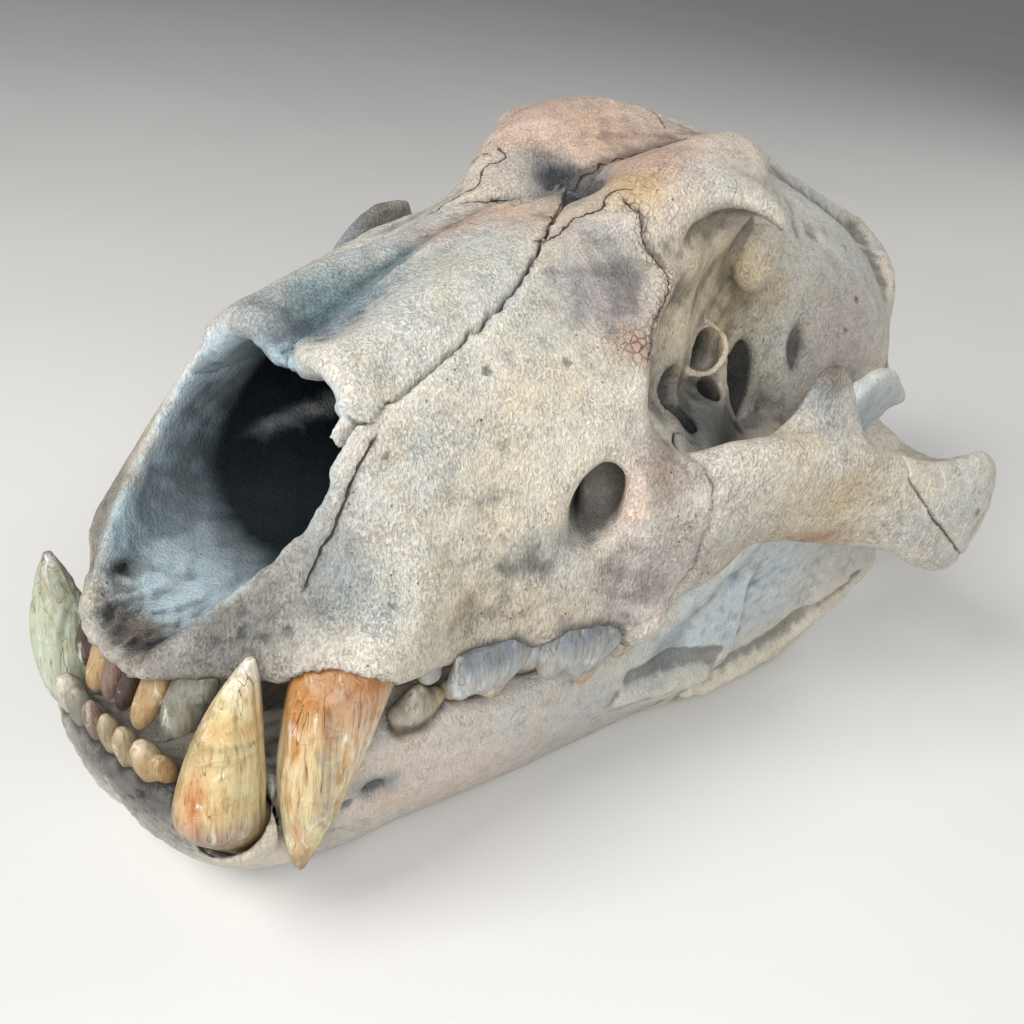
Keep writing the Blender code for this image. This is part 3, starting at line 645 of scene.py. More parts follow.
#    tone, centre, reach, strength; a reach of three numbers is along x, y and z
CRANIUM_STAINS_SHADE_AND_LIGHT = (
    (Tone.PALE, (16, 90, 162), (40, 46, 20), 0.75), (Tone.GREY, (-14, 70, 158), (18, 46, 20), 0.55),
    (Tone.TEAL, (-6, 62, 152), (11, 24, 12), 0.95), (Tone.STEEL, (-3, 56, 148), (7, 16, 8), 0.7),
    (Tone.STEEL, (2, 66, 152), (8, 26, 12), 0.55), (Tone.TEAL, (-4, 88, 160), (7, 24, 8), 0.85),
    (Tone.ROSE, (-3, 116, 169), (8, 22, 8), 0.5), (Tone.ROSE, (-1, 118, 170), (6, 20, 6), 0.5),
    (Tone.ASH, (-14, 54, 150), (14, 6, 12), 0.4), (Tone.PEACH, (-10, 186, 187), (40, 40, 16), 0.8),
    (Tone.PEACH, (10, 136, 174), (26, 18, 12), 0.5), (Tone.PEACH, (24, 168, 184), (16, 16, 12), 0.6),
    (Tone.ROSE, (-32, 182, 191), (16, 40, 12), 0.45), (Tone.ROSE, (3, 196, 185), (9, 40, 8), 0.55),
    # STEEL and INK over the root pit between the brows are painted shadow in the pit.
    (Tone.STEEL, (-3, 160, 177), (18, 13, 10), 0.75), (Tone.INK, (-3, 160, 177), (11, 8, 8), 0.85),
    (Tone.ASH, (0, 148, 175), (14, 10, 8), 0.45), (Tone.OCHRE, (25, 155, 183), (10, 9, 8), 0.8),
    (Tone.ROSE, (23, 168, 188), (14, 12, 8), 0.7), (Tone.GREY, (44, 176, 184), (14, 18, 12), 0.6),
    (Tone.VIOLET, (40, 130, 158), (14, 18, 18), 0.7), (Tone.RUST, (54, 127, 150), (5, 6, 8), 0.6),
    (Tone.GREY, (28, 138, 168), (12, 18, 10), 0.5), (Tone.CREAM, (50, 88, 130), (26, 40, 34), 0.6),
    (Tone.OCHRE, (58, 66, 98), (12, 16, 8), 0.4), (Tone.OCHRE, (50, 74, 128), (9, 12, 14), 0.3),
    (Tone.HAZE, (48, 40, 104), (9, 10, 9), 0.45), (Tone.CREAM, (55, 62, 108), (22, 26, 22), 0.6),
    (Tone.GREY, (43, 56, 126), (14, 26, 22), 0.5), (Tone.STEEL, (63, 90, 103), (10, 13, 9), 0.42),
    (Tone.PLUM, (72, 124, 122), (10, 9, 15), 0.8), (Tone.BLUSH, (67, 115, 111), (6, 5, 14), 0.75),
    (Tone.PLUM, (80, 128, 98), (13, 13, 16), 0.5), (Tone.LILAC, (74, 118, 86), (14, 16, 13), 0.55),
    (Tone.TAN, (62, 78, 84), (14, 44, 9), 0.45), (Tone.CREAM, (94, 156, 118), (14, 24, 14), 0.6),
    (Tone.CREAM, (109, 190, 104), (16, 30, 12), 0.7), (Tone.OCHRE, (100, 178, 108), (12, 20, 10), 0.4),
    (Tone.STEEL, (87, 173, 137), (9, 9, 9), 0.6), (Tone.UMBER, (88, 178, 146), (9, 9, 7), 0.85),
    (Tone.TAN, (96, 170, 90), (16, 34, 8), 0.8), (Tone.UMBER, (93, 162, 87), (14, 18, 4), 0.6),
    (Tone.PALE, (121, 230, 98), (14, 24, 20), 0.7), (Tone.SOOT, (8, 10, 84), (30, 14, 16), 0.85),
    (Tone.SOOT, (16, 13, 88), (30, 17, 20), 0.45), (Tone.UMBER, (3, 6, 80), (9, 10, 8), 0.5),
    (Tone.SOOT, (29, 19, 99), (13, 15, 15), 0.6), (Tone.ASH, (31, 34, 116), (9, 15, 15), 0.7),
    (Tone.STEEL, (43, 30, 108), (9, 12, 13), 0.6), (Tone.SOOT, (-30, 20, 96), (18, 22, 18), 0.6),
    # STEEL on the right cheek bone's rising process is painted shade on its shaded face.
    (Tone.STEEL, (-87, 158, 129), (12, 24, 22), 0.75), (Tone.UMBER, (-88, 172, 142), (9, 20, 5), 0.6),
    # BUFF over the left orbit wall is painted light that lifts the wall out of its shade.
    (Tone.UMBER, (-46, 30, 104), (12, 26, 26), 0.6), (Tone.BUFF, (42, 196, 146), (22, 46, 28), 0.95),
    (Tone.OCHRE, (44, 176, 162), (14, 26, 14), 0.25), (Tone.GREY, (41, 214, 157), (8, 9, 13), 0.75),
    (Tone.CREAM, (38, 226, 142), (12, 20, 24), 0.7), (Tone.OCHRE, (36, 222, 142), (10, 26, 20), 0.5),
    (Tone.PALE, (42, 240, 118), (14, 20, 14), 0.6), (Tone.STEEL, (44, 178, 106), (22, 28, 14), 0.6),
    (Tone.PALE, (36, 290, 144), (34, 50, 34), 0.8), (Tone.LILAC, (48, 276, 126), (20, 26, 22), 0.6),
    (Tone.RUST, (96, 184, 92), (5, 7, 3), 0.5), (Tone.GREY, (0, 330, 156), (18, 60, 12), 0.5),
    (Tone.TAN, (0, 250, 70), (60, 160, 16), 0.5), (Tone.ASH, (0, 376, 112), (50, 16, 36), 0.4),
)
JAW_STAINS = (
    (Tone.BLUSH, (48, 80, 30), (24, 60, 24), 0.45), (Tone.GREY, (60, 130, 30), (18, 40, 26), 0.5),
    (Tone.STEEL, (43, 52, 30), (7, 7, 5), 0.75), (Tone.PALE, (56, 100, 42), (16, 50, 10), 0.4),
    (Tone.SOOT, (10, -6, 50), (28, 12, 20), 0.9), (Tone.ASH, (26, -2, 34), (20, 12, 16), 0.7),
    (Tone.SOOT, (38, 0, 46), (16, 12, 6), 0.6), (Tone.SOOT, (25, -3, 46), (14, 8, 7), 0.7),
    (Tone.CREAM, (40, 6, 36), (14, 12, 10), 0.45), (Tone.ICE, (74, 190, 50), (16, 46, 28), 0.85),
    (Tone.CREAM, (66, 178, 22), (14, 20, 9), 0.8), (Tone.CREAM, (70, 210, 8), (14, 34, 9), 0.8),
    (Tone.CREAM, (75, 258, 20), (12, 26, 10), 0.8), (Tone.STEEL, (70, 158, 44), (10, 8, 10), 0.4),
    (Tone.ICE, (84, 222, 116), (12, 34, 18), 0.7), (Tone.TAN, (100, 268, 66), (20, 12, 10), 0.4),
)


@dataclass(frozen=True)
class BoneFinish:
    """How one bone's surface is tinted in patches, lined and grained, a few patches being painted shade and painted
    light.

    Attributes:
        tone_patches: Patches of tone.
        speckle: Strength of the fine dark speckle.
        fibre: Strength of the fine lengthways striation.
        pitting: Strength of the fine pits.
        bump: Height of the grain in millimetres.
    """

    tone_patches: Sequence[Any]
    speckle: float = 0.5
    fibre: float = 0.5
    pitting: float = 0.5
    bump: float = 0.35

    def tint(self, points: Array) -> Array:
        """Base colour at each point.

        Args:
            points: Positions in millimetres.

        Returns:
            Scene-linear colours with an alpha of one.
        """
        bent = points + 3.5 * np.stack([wobble(points, 9, k) for k in (0.3, 4.1, 7.7)], axis=1)
        bent += 1.3 * np.stack([wobble(points, 3.1, k) for k in (1.3, 5.1, 9.7)], axis=1)
        return patched(np.tile(linear(Tone.BONE.value), (len(points), 1)), bent, self.tone_patches, 1.3)


# ---- the same named sizes as the solids
FACE = (
    (-3, 79, 6, 79.5, 11, 79, 13, 77, 13, 75, 9, 73, 73.5),
    (3, 90, 11, 91, 18, 89, 22.5, 87, 24, 83, 19, 78, 74),
    (12, 103, 14, 104, 22, 99, 27, 93, 32, 86, 28, 79.5, 76),
    (22, 116, 15, 117, 26, 109, 37, 99, 47, 89, 41, 80.5, 77),
    (32, 129, 16, 130, 28, 120, 42, 107, 58, 92, 51, 81, 78),
    (43, 141, 17, 146, 28.5, 136, 45, 113, 60, 92, 54, 79.5, 78),
    (52, 145, 17, 153, 29, 143.5, 47, 118, 58.5, 92, 53, 77, 78),
    (64, 149, 17, 157, 30, 149, 49, 122, 57, 92, 53, 73.5, 78),
    (80, 157, 17, 163, 31, 155, 53, 127, 60, 95, 57, 72, 77),
    (96, 164, 18, 167.5, 32, 159, 57, 131, 66, 96, 63, 70, 76),
    (112, 169, 19, 171, 33.5, 160.5, 60, 136, 69, 99, 67, 68, 75),
    (127, 171, 21, 172.5, 35.5, 162, 61, 141, 74, 103, 69, 66, 73),
    (142, 171.5, 23, 175, 37.5, 162.5, 57, 146, 71, 106, 62, 68, 73),
    (156, 174, 25, 184, 41, 171, 50, 152, 60, 108, 46, 72, 73),
    (168, 180.5, 26, 191, 44, 178, 46, 160, 46, 112, 36, 76, 73),
    (180, 183, 27, 193, 45, 181, 42, 160, 38, 115, 30, 78, 76),
    (194, 184.5, 27, 194, 46, 183, 38, 158, 34, 115, 27, 82, 84),
    (206, 186, 26, 194, 41, 184, 33, 156, 32, 115, 26, 86, 88),
    (220, 187, 22, 192, 33, 182, 30, 152, 32, 112, 26, 88, 90),
)
CASE = (
    (196, 184, 22, 186, 31, 155, 26, 100, 88),
    (218, 186, 22, 188, 30, 148, 33, 92, 82),
    (240, 183, 16, 182, 39, 138, 43, 89, 78),
    (258, 177, 20, 168, 47, 130, 48, 87, 77),
    (285, 164, 26, 157, 54, 120, 49, 90, 77),
    (308, 154, 27, 148, 54, 114, 50, 88, 76),
    (328, 145, 25, 139, 47, 110, 46, 86, 76),
    (346, 137, 21, 131, 37, 106, 37, 84, 75),
    (362, 131, 18, 125, 27, 101, 29, 84, 76),
    (374, 117, 10, 113, 15, 99, 16, 88, 80),
)
CREST = ((238, 183), (256, 184), (272, 179), (292, 169.5), (311, 163), (332, 155), (355, 147), (380, 137.5))
NUCHAL = ((0, 378, 132, 5, 6), (19, 364, 127, 5, 6), (31, 350, 122, 5, 6), (37, 340, 115, 5, 6),
          (40, 334, 106, 5, 6), (44, 328, 96, 6, 6), (50, 324, 88, 7, 7))
ARCH = ((60, 124, 97, 15, 24), (74, 136, 101, 11, 24, -6), (83, 150, 109, 8, 21.5, -12),
        (92, 172, 107.5, 7, 20, -14), (102, 196, 101.5, 6.5, 18.5, -8), (111, 216, 95.5, 6.5, 17),
        (116.5, 234, 89.5, 6.5, 21.5), (118.5, 248, 87, 6.5, 23.5), (114, 262, 87.5, 8, 15),
        (98, 268, 84.5, 11, 6.2), (78, 271, 84, 12, 6.2), (54, 276, 90, 13, 11))
NOSE = (
    (-30, 126, 13, 16, 124, 16, 105, 8, 80, 76),
    (-6, 126, 13, 16, 124, 17, 105, 9, 81, 77),
    (3, 129, 13, 18, 126, 19, 105, 12, 84, 80),
    (12, 132, 14, 21, 129, 22, 106, 16, 87, 84),
    (24, 136, 15, 25, 132, 27, 110, 22, 92, 87),
    (34, 138, 16, 26, 134, 30, 114, 27, 95, 89),
    (46, 139, 16, 25, 136, 33, 118, 29, 98, 90),
    (64, 143, 16, 25, 139, 35, 121, 31, 101, 92),
    (84, 150, 15, 24, 144, 36, 124, 32, 103, 94),
    (108, 160, 14, 23, 151, 36, 127, 31, 104, 95),
    (132, 162, 12, 22, 153, 33, 129, 28, 105, 96),
    (156, 161, 10, 18, 153, 27, 129, 22, 106, 96),
    (180, 150, 8, 14, 144, 18, 125, 14, 105, 96),
)
JAW = (
    (-8, -2, 15, 50, 10, 53, 45),
    (-4, -2, 24, 47, 14, 53, 32),
    (3, -2, 36, 42, 18, 49, 19),
    (11, -2, 43, 38, 22, 44, 10),
    (24, -2, 40, 34, 26.5, 42, 3),
    (38, 3, 39, 31, 30, 43, 0),
    (50, 14, 42.5, 30, 33.5, 47.5, -1),
    (66, 23.5, 48.5, 29, 36, 50, -1),
    (90, 29, 55, 29, 42, 48.5, 0),
    (112, 33, 59, 30, 46, 49, -1),
    (134, 37, 63, 32, 50, 52, -1),
    (152, 43, 69, 34, 53, 56, -1),
    (170, 49.5, 74.5, 36, 56, 60, -1),
    (196, 58, 80, 38, 63, 62, 0),
)
RAMUS = ((160, 54, 64, 6, 60), (178, 59, 71, 3, 78), (196, 63, 77, 1, 102), (212, 65.5, 81, 0, 122),
         (228, 68.5, 83, 2, 131), (242, 70.5, 84, 8, 126.5), (252, 72, 85, 14, 117))
NASAL_EDGE = ((46, 28.5), (56, 30.5), (66, 31.5), (82, 31.3), (97, 29.5), (113, 25), (129, 17.5), (144, 9),
              (158, 1.5))
JUGAL_FRONT = ((112, 116), (96, 130), (86, 134.5), (81, 131.5), (74, 132.5), (66, 141), (60, 147.5),
               (56, 153), (58, 168), (62, 186))
JUGAL_REAR = ((203, 150), (203, 121), (203.5, 110), (219.5, 93), (242, 75), (262, 59))


def face_ring(s: Row) -> Any:
    """Half section of the face: roof, crown, brow, wall, low wall, alveolus, palate."""
    y, roof, cx, cz, bx, bz, wx, wz, lx, lz, ax, az, floor = s
    return ((0, roof), (cx, cz), (bx, bz), (wx, wz), (lx, lz), (ax, az), (0, floor))


def case_ring(s: Row) -> Any:
    """Half section of the braincase."""
    y, roof, ux, uz, sx, sz, lx, lz, floor = s
    return ((0, roof), (ux, uz), (sx, sz), (lx, lz), (lx * 0.5, floor), (0, floor))


def nasal_ring(s: Row) -> Any:
    """Half section of the nasal cavity."""
    y, top, tx, ux, uz, wx, wz, bx, bz, floor = s
    return ((0, top), (tx, top + 4), (ux, uz), (wx, wz), (bx, bz), (0, floor))


def jaw_ring(s: Row) -> Any:
    """Section of one jaw body."""
    y, inner, ox, oz, ux, top, low = s
    return ((inner + 2, top - 2), ((inner + ox) / 2, top), (ox - 2, top - 2), (ox, oz),
            ((ox + ux) / 2 + 1.5, (oz + low) / 2), (ux, low + 2.5), ((inner + ux) / 2, low),
            (inner + 1, low + 5), (inner, (top + low) / 2))


def plate_ring(s: Row) -> Any:
    """Section of the jaw's rear plate."""
    y, xl, xt, low, top = s
    mid, xm = (low + top) / 2, (xl + xt) / 2 + 1
    return ((xl - 4, low + 7), (xl, low), (xl + 4, low + 5), (xm + 3.5, mid), (xt + 4, top - 6),
            (xt + 1, top), (xt - 3, top - 6), (xm - 4, mid))


@dataclass(frozen=True)
class CanineSize:
    """Sizes of one canine.

    Attributes:
        root: Centre of the root's end.
        neck: Centre at the crown's foot.
        tip: Point of the crown.
        width: Breadth at the neck, front to back.
    """

    root: Row
    neck: Row
    tip: Row
    width: float

    def stations(self, grow: float = 0.0) -> list[Row]:
        """Rows of centre and half sizes from root to tip.

        Args:
            grow: Extra half size for a clearance.

        Returns:
            The rows.
        """
        root, neck, tip = (np.array(v) for v in (self.root, self.neck, self.tip))
        half = self.width / 2
        rows = []
        for share, size in ((0.0, 0.54), (0.35, 0.76), (0.7, 0.92)):
            rows.append((*(root + (neck - root) * share), half * size * 0.84 + grow, half * size + grow))
        for share, size in ((0.0, 1.0), (0.25, 0.93), (0.5, 0.76), (0.75, 0.5), (0.92, 0.26), (1.0, 0.1)):
            centre = neck + (tip - neck) * share + np.array([0, -2.0, 0]) * np.sin(np.pi * share)
            rows.append((*centre, half * size * 0.82 + grow, half * size + grow))
        return rows

    def socket(self, side: Side, grow: float) -> Object:
        """Cutter for the socket that holds this canine."""
        made = sweep("socket", self.stations(grow), 40, 32, level=True)
        middle, half = (self.root[2] + self.tip[2]) / 2, abs(self.root[2] - self.tip[2]) / 2
        for vertex in made.data.vertices:
            vertex.co.z = (middle + (vertex.co.z / MM - middle) * (1 + 1.5 * grow / half)) * MM
        return made if side is Side.LEFT else swapped(made)


UPPER_CANINES = {
    Side.LEFT: CanineSize((39.0, 54.0, 105.0), (46.8, 34.0, 84.0), (46.8, 21.5, 24.0), 28.6),
    Side.RIGHT: CanineSize((38.5, 54.0, 101.0), (43.4, 38.0, 84.0), (43.4, 25.5, 24.0), 28.0),
}
LOWER_CANINES = {
    Side.LEFT: CanineSize((29.0, 20.0, 22.0), (35.0, 4.8, 46.0), (38.2, 10.8, 92.5), 24.4),
    Side.RIGHT: CanineSize((27.0, 22.0, 22.0), (31.5, 10.5, 44.0), (38.8, 4.5, 85.5), 23.6),
}

#    rolled front edges of the right and left nasal bones
HOOD = (((-27, 48, 140), (-21, 50, 147), (-13, 53, 150), (-5, 54, 149), (-1.5, 54, 147.5)),
        ((3, 53, 148), (9, 50, 149), (15, 48, 149), (21, 47, 146), (27, 46, 141)))
#    lines of the sutures as they run over the surface, left side
MIDLINE = ((3, 50, 146), (3, 63, 150), (1, 71, 153), (0, 87, 161), (-1, 109, 169), (-3, 123, 171),
           (-5, 138, 172), (-2, 161, 178), (1, 177, 183), (3, 190, 185), (3, 203, 186), (5, 214, 188))
NASO_MAXILLARY = ((7, 146, 174), (15, 131, 173), (23, 117, 170), (27, 105, 165), (29, 95, 161), (31, 84, 156),
                  (31, 74, 151), (32, 66, 147), (32, 58, 143), (34, 52, 138), (35, 42, 126), (36, 39, 121),
                  (37, 31, 111), (38, 25, 103))
FRONTO_MAXILLARY = ((21, 118, 171), (22, 129, 172), (19, 138, 174), (23, 147, 177), (20, 151, 179), (28, 156, 182))
BROW_CRACK = ((24, 151, 180), (32, 152, 177), (37, 150, 171), (42, 151, 167), (48, 148, 161), (52, 138, 153),
              (58, 127, 146))
CORONAL = ((4, 214, 188), (14, 220, 188), (22, 216, 184), (28, 221, 178))


class SkullForm:
    """Builds the cranium's shape and parts it at the sutures, as the solids are built."""

    def rough(self) -> Object:
        """The fused cranium at the rough voxel."""
        face = section_form("face", FACE, face_ring, 84, 64)
        for cutter in both([self.orbit()]):
            boolean(face, cutter, "DIFFERENCE")
        case = section_form("case", CASE, case_ring, 56, 56)
        crest = sweep("crest", [(0, y, z - 11, 4.5, 11) for y, z in CREST], 36, 20, 1.6)
        lean = sweep("jugal_lean", ((-86, 146, 118, 4, 12), (-87, 152, 128, 4, 10), (-88, 162, 136, 4, 9),
                                    (-88, 171, 141, 4, 7), (-88, 176, 143, 3.2, 5)), 18, 18)
        skull = fused(joined("skull", [face, case, crest, lean] + both(self.pieces())), ROUGH_VOXEL)
        Skin(skull).smooth(4)
        for cutter in self.cutters():
            boolean(skull, cutter, "DIFFERENCE")
        skull = fused(skull, ROUGH_VOXEL)
        skin = Skin(skull)
        skin.smooth(4)
        skin.shift((-56, 34, 96), (22, 44, 40), (5.5, 3, 0))
        skin.shift((-28, 7, 87), (16, 16, 14), (3, 1, -1))
        skin.shift((-27, 85, 160), (18, 40, 18), (1.5, 0, -1.5))
        skin.shift((-24, 110, 168), (20, 44, 20), (2.5, 0, -5))
        skin.shift((-46, 150, 163), (18, 24, 20), (2, 0, -3.5))
        return skull

    def orbit(self) -> Object:
        """Hollow of the left orbit."""
        return sweep("orbit", ((120, 168, 140, 46, 31), (95, 163, 141, 42, 29.5), (70, 159, 142, 37.5, 27),
                               (54, 158, 142, 31, 24), (43, 158, 141, 21, 17)), 24, 28)

    def pieces(self) -> list[Object]:
        """The bars and knobs of the left half."""
        return [
            sweep("arch", ARCH, 70, 28, 2.4),
            sweep("jugal_process", ((91, 172, 112, 4.5, 24, 22), (91, 177, 122, 4.4, 19.5, 22),
                                    (90, 179, 133, 4.2, 12.5, 22), (89, 179, 142, 3.6, 7.2, 22),
                                    (88.3, 178.5, 146, 2.5, 4.5, 22)), 20, 20),
            sweep("malar", ((60, 119, 82, 13, 14), (70, 124, 73, 8, 12), (76.5, 128, 66.5, 5.5, 9)), 14, 18),
            sweep("postorbital", ((36, 182, 183, 12, 8), (46, 187, 180, 9, 6), (54, 191, 175.5, 5.5, 5),
                                  (58, 193, 171, 3.5, 3.5)), 20, 18),
            sweep("supraorbital", ((60, 122, 136, 4, 5), (54, 130, 147, 4, 4.5), (47.5, 140, 153, 4.5, 4.5),
                                   (43.5, 153, 162.5, 5, 5), (40, 170, 173, 5, 5), (42, 184, 178, 6, 5.5)), 24, 16),
            sweep("nuchal", NUCHAL, 34, 16),
            sweep("mastoid", ((48, 312, 90, 10, 11), (52, 320, 81, 6.5, 7), (52, 323, 73, 4.5, 5)), 16, 16),
            sweep("paroccipital", ((38, 344, 88, 9, 8), (41, 350, 76, 6, 6), (42, 353, 66, 4, 4)), 16, 14),
            ball("condyle", (20, 371, 84), (11, 11, 12), 25),
            sweep("orbit_floor", ((56, 146, 100, 12, 15), (47, 168, 99, 15, 16), (41, 190, 97, 13, 15.5),
                                  (36, 208, 95, 10, 14), (29, 224, 95, 7, 12)), 22, 20),
            sweep("sphenoid_wall", ((50, 172, 90, 8, 12), (49, 200, 87, 8, 12), (47, 222, 84, 8, 11),
                                    (45, 246, 82, 8, 9)), 20, 18),
            ball("bulla", (30, 318, 74), (14, 20, 14), -12),
            sweep("pterygoid", ((28, 166, 84, 5, 14), (24, 190, 80, 4, 15), (21, 208, 78, 4, 14),
                                (21, 222, 74, 4, 12), (23, 234, 68, 3, 6)), 24, 16),
            sweep("postglenoid", ((68, 282, 86, 10, 5), (80, 284, 80, 8, 4.5), (90, 283, 73, 5, 3.5)), 14, 14),
        ]

    def cutters(self) -> list[Object]:
        """The nasal cavity, choana, great foramen and both cheek canals."""
        canal = sweep("canal", ((84, 82, 108, 11, 15), (66, 104, 112.5, 8, 12), (56, 122, 113, 6, 9.5),
                                (52, 145, 118, 6, 8)), 20, 20)
        choana = sweep("choana", ((0, 172, 76, 16, 9), (0, 200, 72, 16, 13), (0, 240, 66, 15, 16)), 16, 24)
        nose = section_form("nose", NOSE, nasal_ring, 40, 40)
        front = sweep("aperture", ((0, -30, 150, 26, 36), (0, 20, 150, 26, 36), (0, 44, 150, 26, 36),
                                   (0, 50, 150, 25, 34)), 16, 24, 5.0)
        magnum = sweep("magnum", ((0, 400, 93, 15, 13), (0, 376, 94, 14, 13), (0, 345, 96, 13, 12)), 12, 24)
        cavity = fused(joined("cavity", [nose, front]), ROUGH_VOXEL)
        return [cavity, choana, magnum] + both([canal])

    def nasal_region(self, side: Side, grow: float) -> Object:
        """Upright region that holds one nasal bone.

        Args:
            side: Side of the head.
            grow: Extra half size for a clearance.

        Returns:
            The closed region.
        """
        y = np.linspace(NASAL_EDGE[0][0], NASAL_EDGE[-1][0], 57)
        edge = through([s[0] for s in NASAL_EDGE], [s[1] for s in NASAL_EDGE], y)[:, 0]
        ragged = 0.5 * np.sin(y * 1.1) * np.cos(y * 0.43 + 1) + 0.35 * np.sin(y * 2.3)
        edge = edge + ragged * np.clip((y - 60) / 20, 0.3, 1)
        outline = [(GAP / 2 - grow, 40), (edge[0] + grow, 40)]
        outline += [(x + grow, at - (grow if k == 0 else 0)) for k, (at, x) in enumerate(zip(y, edge))]
        outline += [(x + grow, y[-1] + 2 + grow) for x in (0.7, GAP / 2 - 2 * grow)]
        made = prism("nasal_region", outline, 112, 215)
        return made if side is Side.LEFT else swapped(made)

    def curtain(self, path: Any, low: float, high: float, axis: int = 2) -> Object:
        """Wall one gap thick along an open path."""
        p = np.asarray(path, float)
        d = np.gradient(p, axis=0)
        across = np.stack([-d[:, 1], d[:, 0]], axis=1)
        across *= GAP / 2 / np.linalg.norm(across, axis=1)[:, None]
        return prism("curtain", np.concatenate([p + across, (p - across)[::-1]]), low, high, axis)

    def parted(self, skull: Object) -> dict[str, Object]:
        """Frees the nasal and cheek bones.

        Args:
            skull: The whole rough cranium, used up.

        Returns:
            The five bones by node name.
        """
        bones: dict[str, Object] = {}
        for side in Side:
            nasal = boolean(copied(skull, "nasal"), self.nasal_region(side, 0.0), "INTERSECT")
            keep = loose_parts(nasal)
            for scrap in keep[1:]:
                bpy.data.objects.remove(scrap)
            bones["nasal_" + side.word] = keep[0]
            boolean(skull, self.nasal_region(side, GAP), "DIFFERENCE")
            for wall in (self.curtain(JUGAL_FRONT, 40, 175), self.curtain(JUGAL_REAR, 84, 140, 0)):
                boolean(skull, wall if side is Side.LEFT else swapped(wall), "DIFFERENCE")
        pieces = loose_parts(skull)
        bones["cranium"] = pieces[0]
        for piece in pieces[1:]:
            x = Skin(piece).points[:, 0].mean()
            if abs(x) > 60 and len(piece.data.vertices) > 200:
                bones["zygomatic_left" if x > 0 else "zygomatic_right"] = piece
            else:
                bpy.data.objects.remove(piece)
        return bones


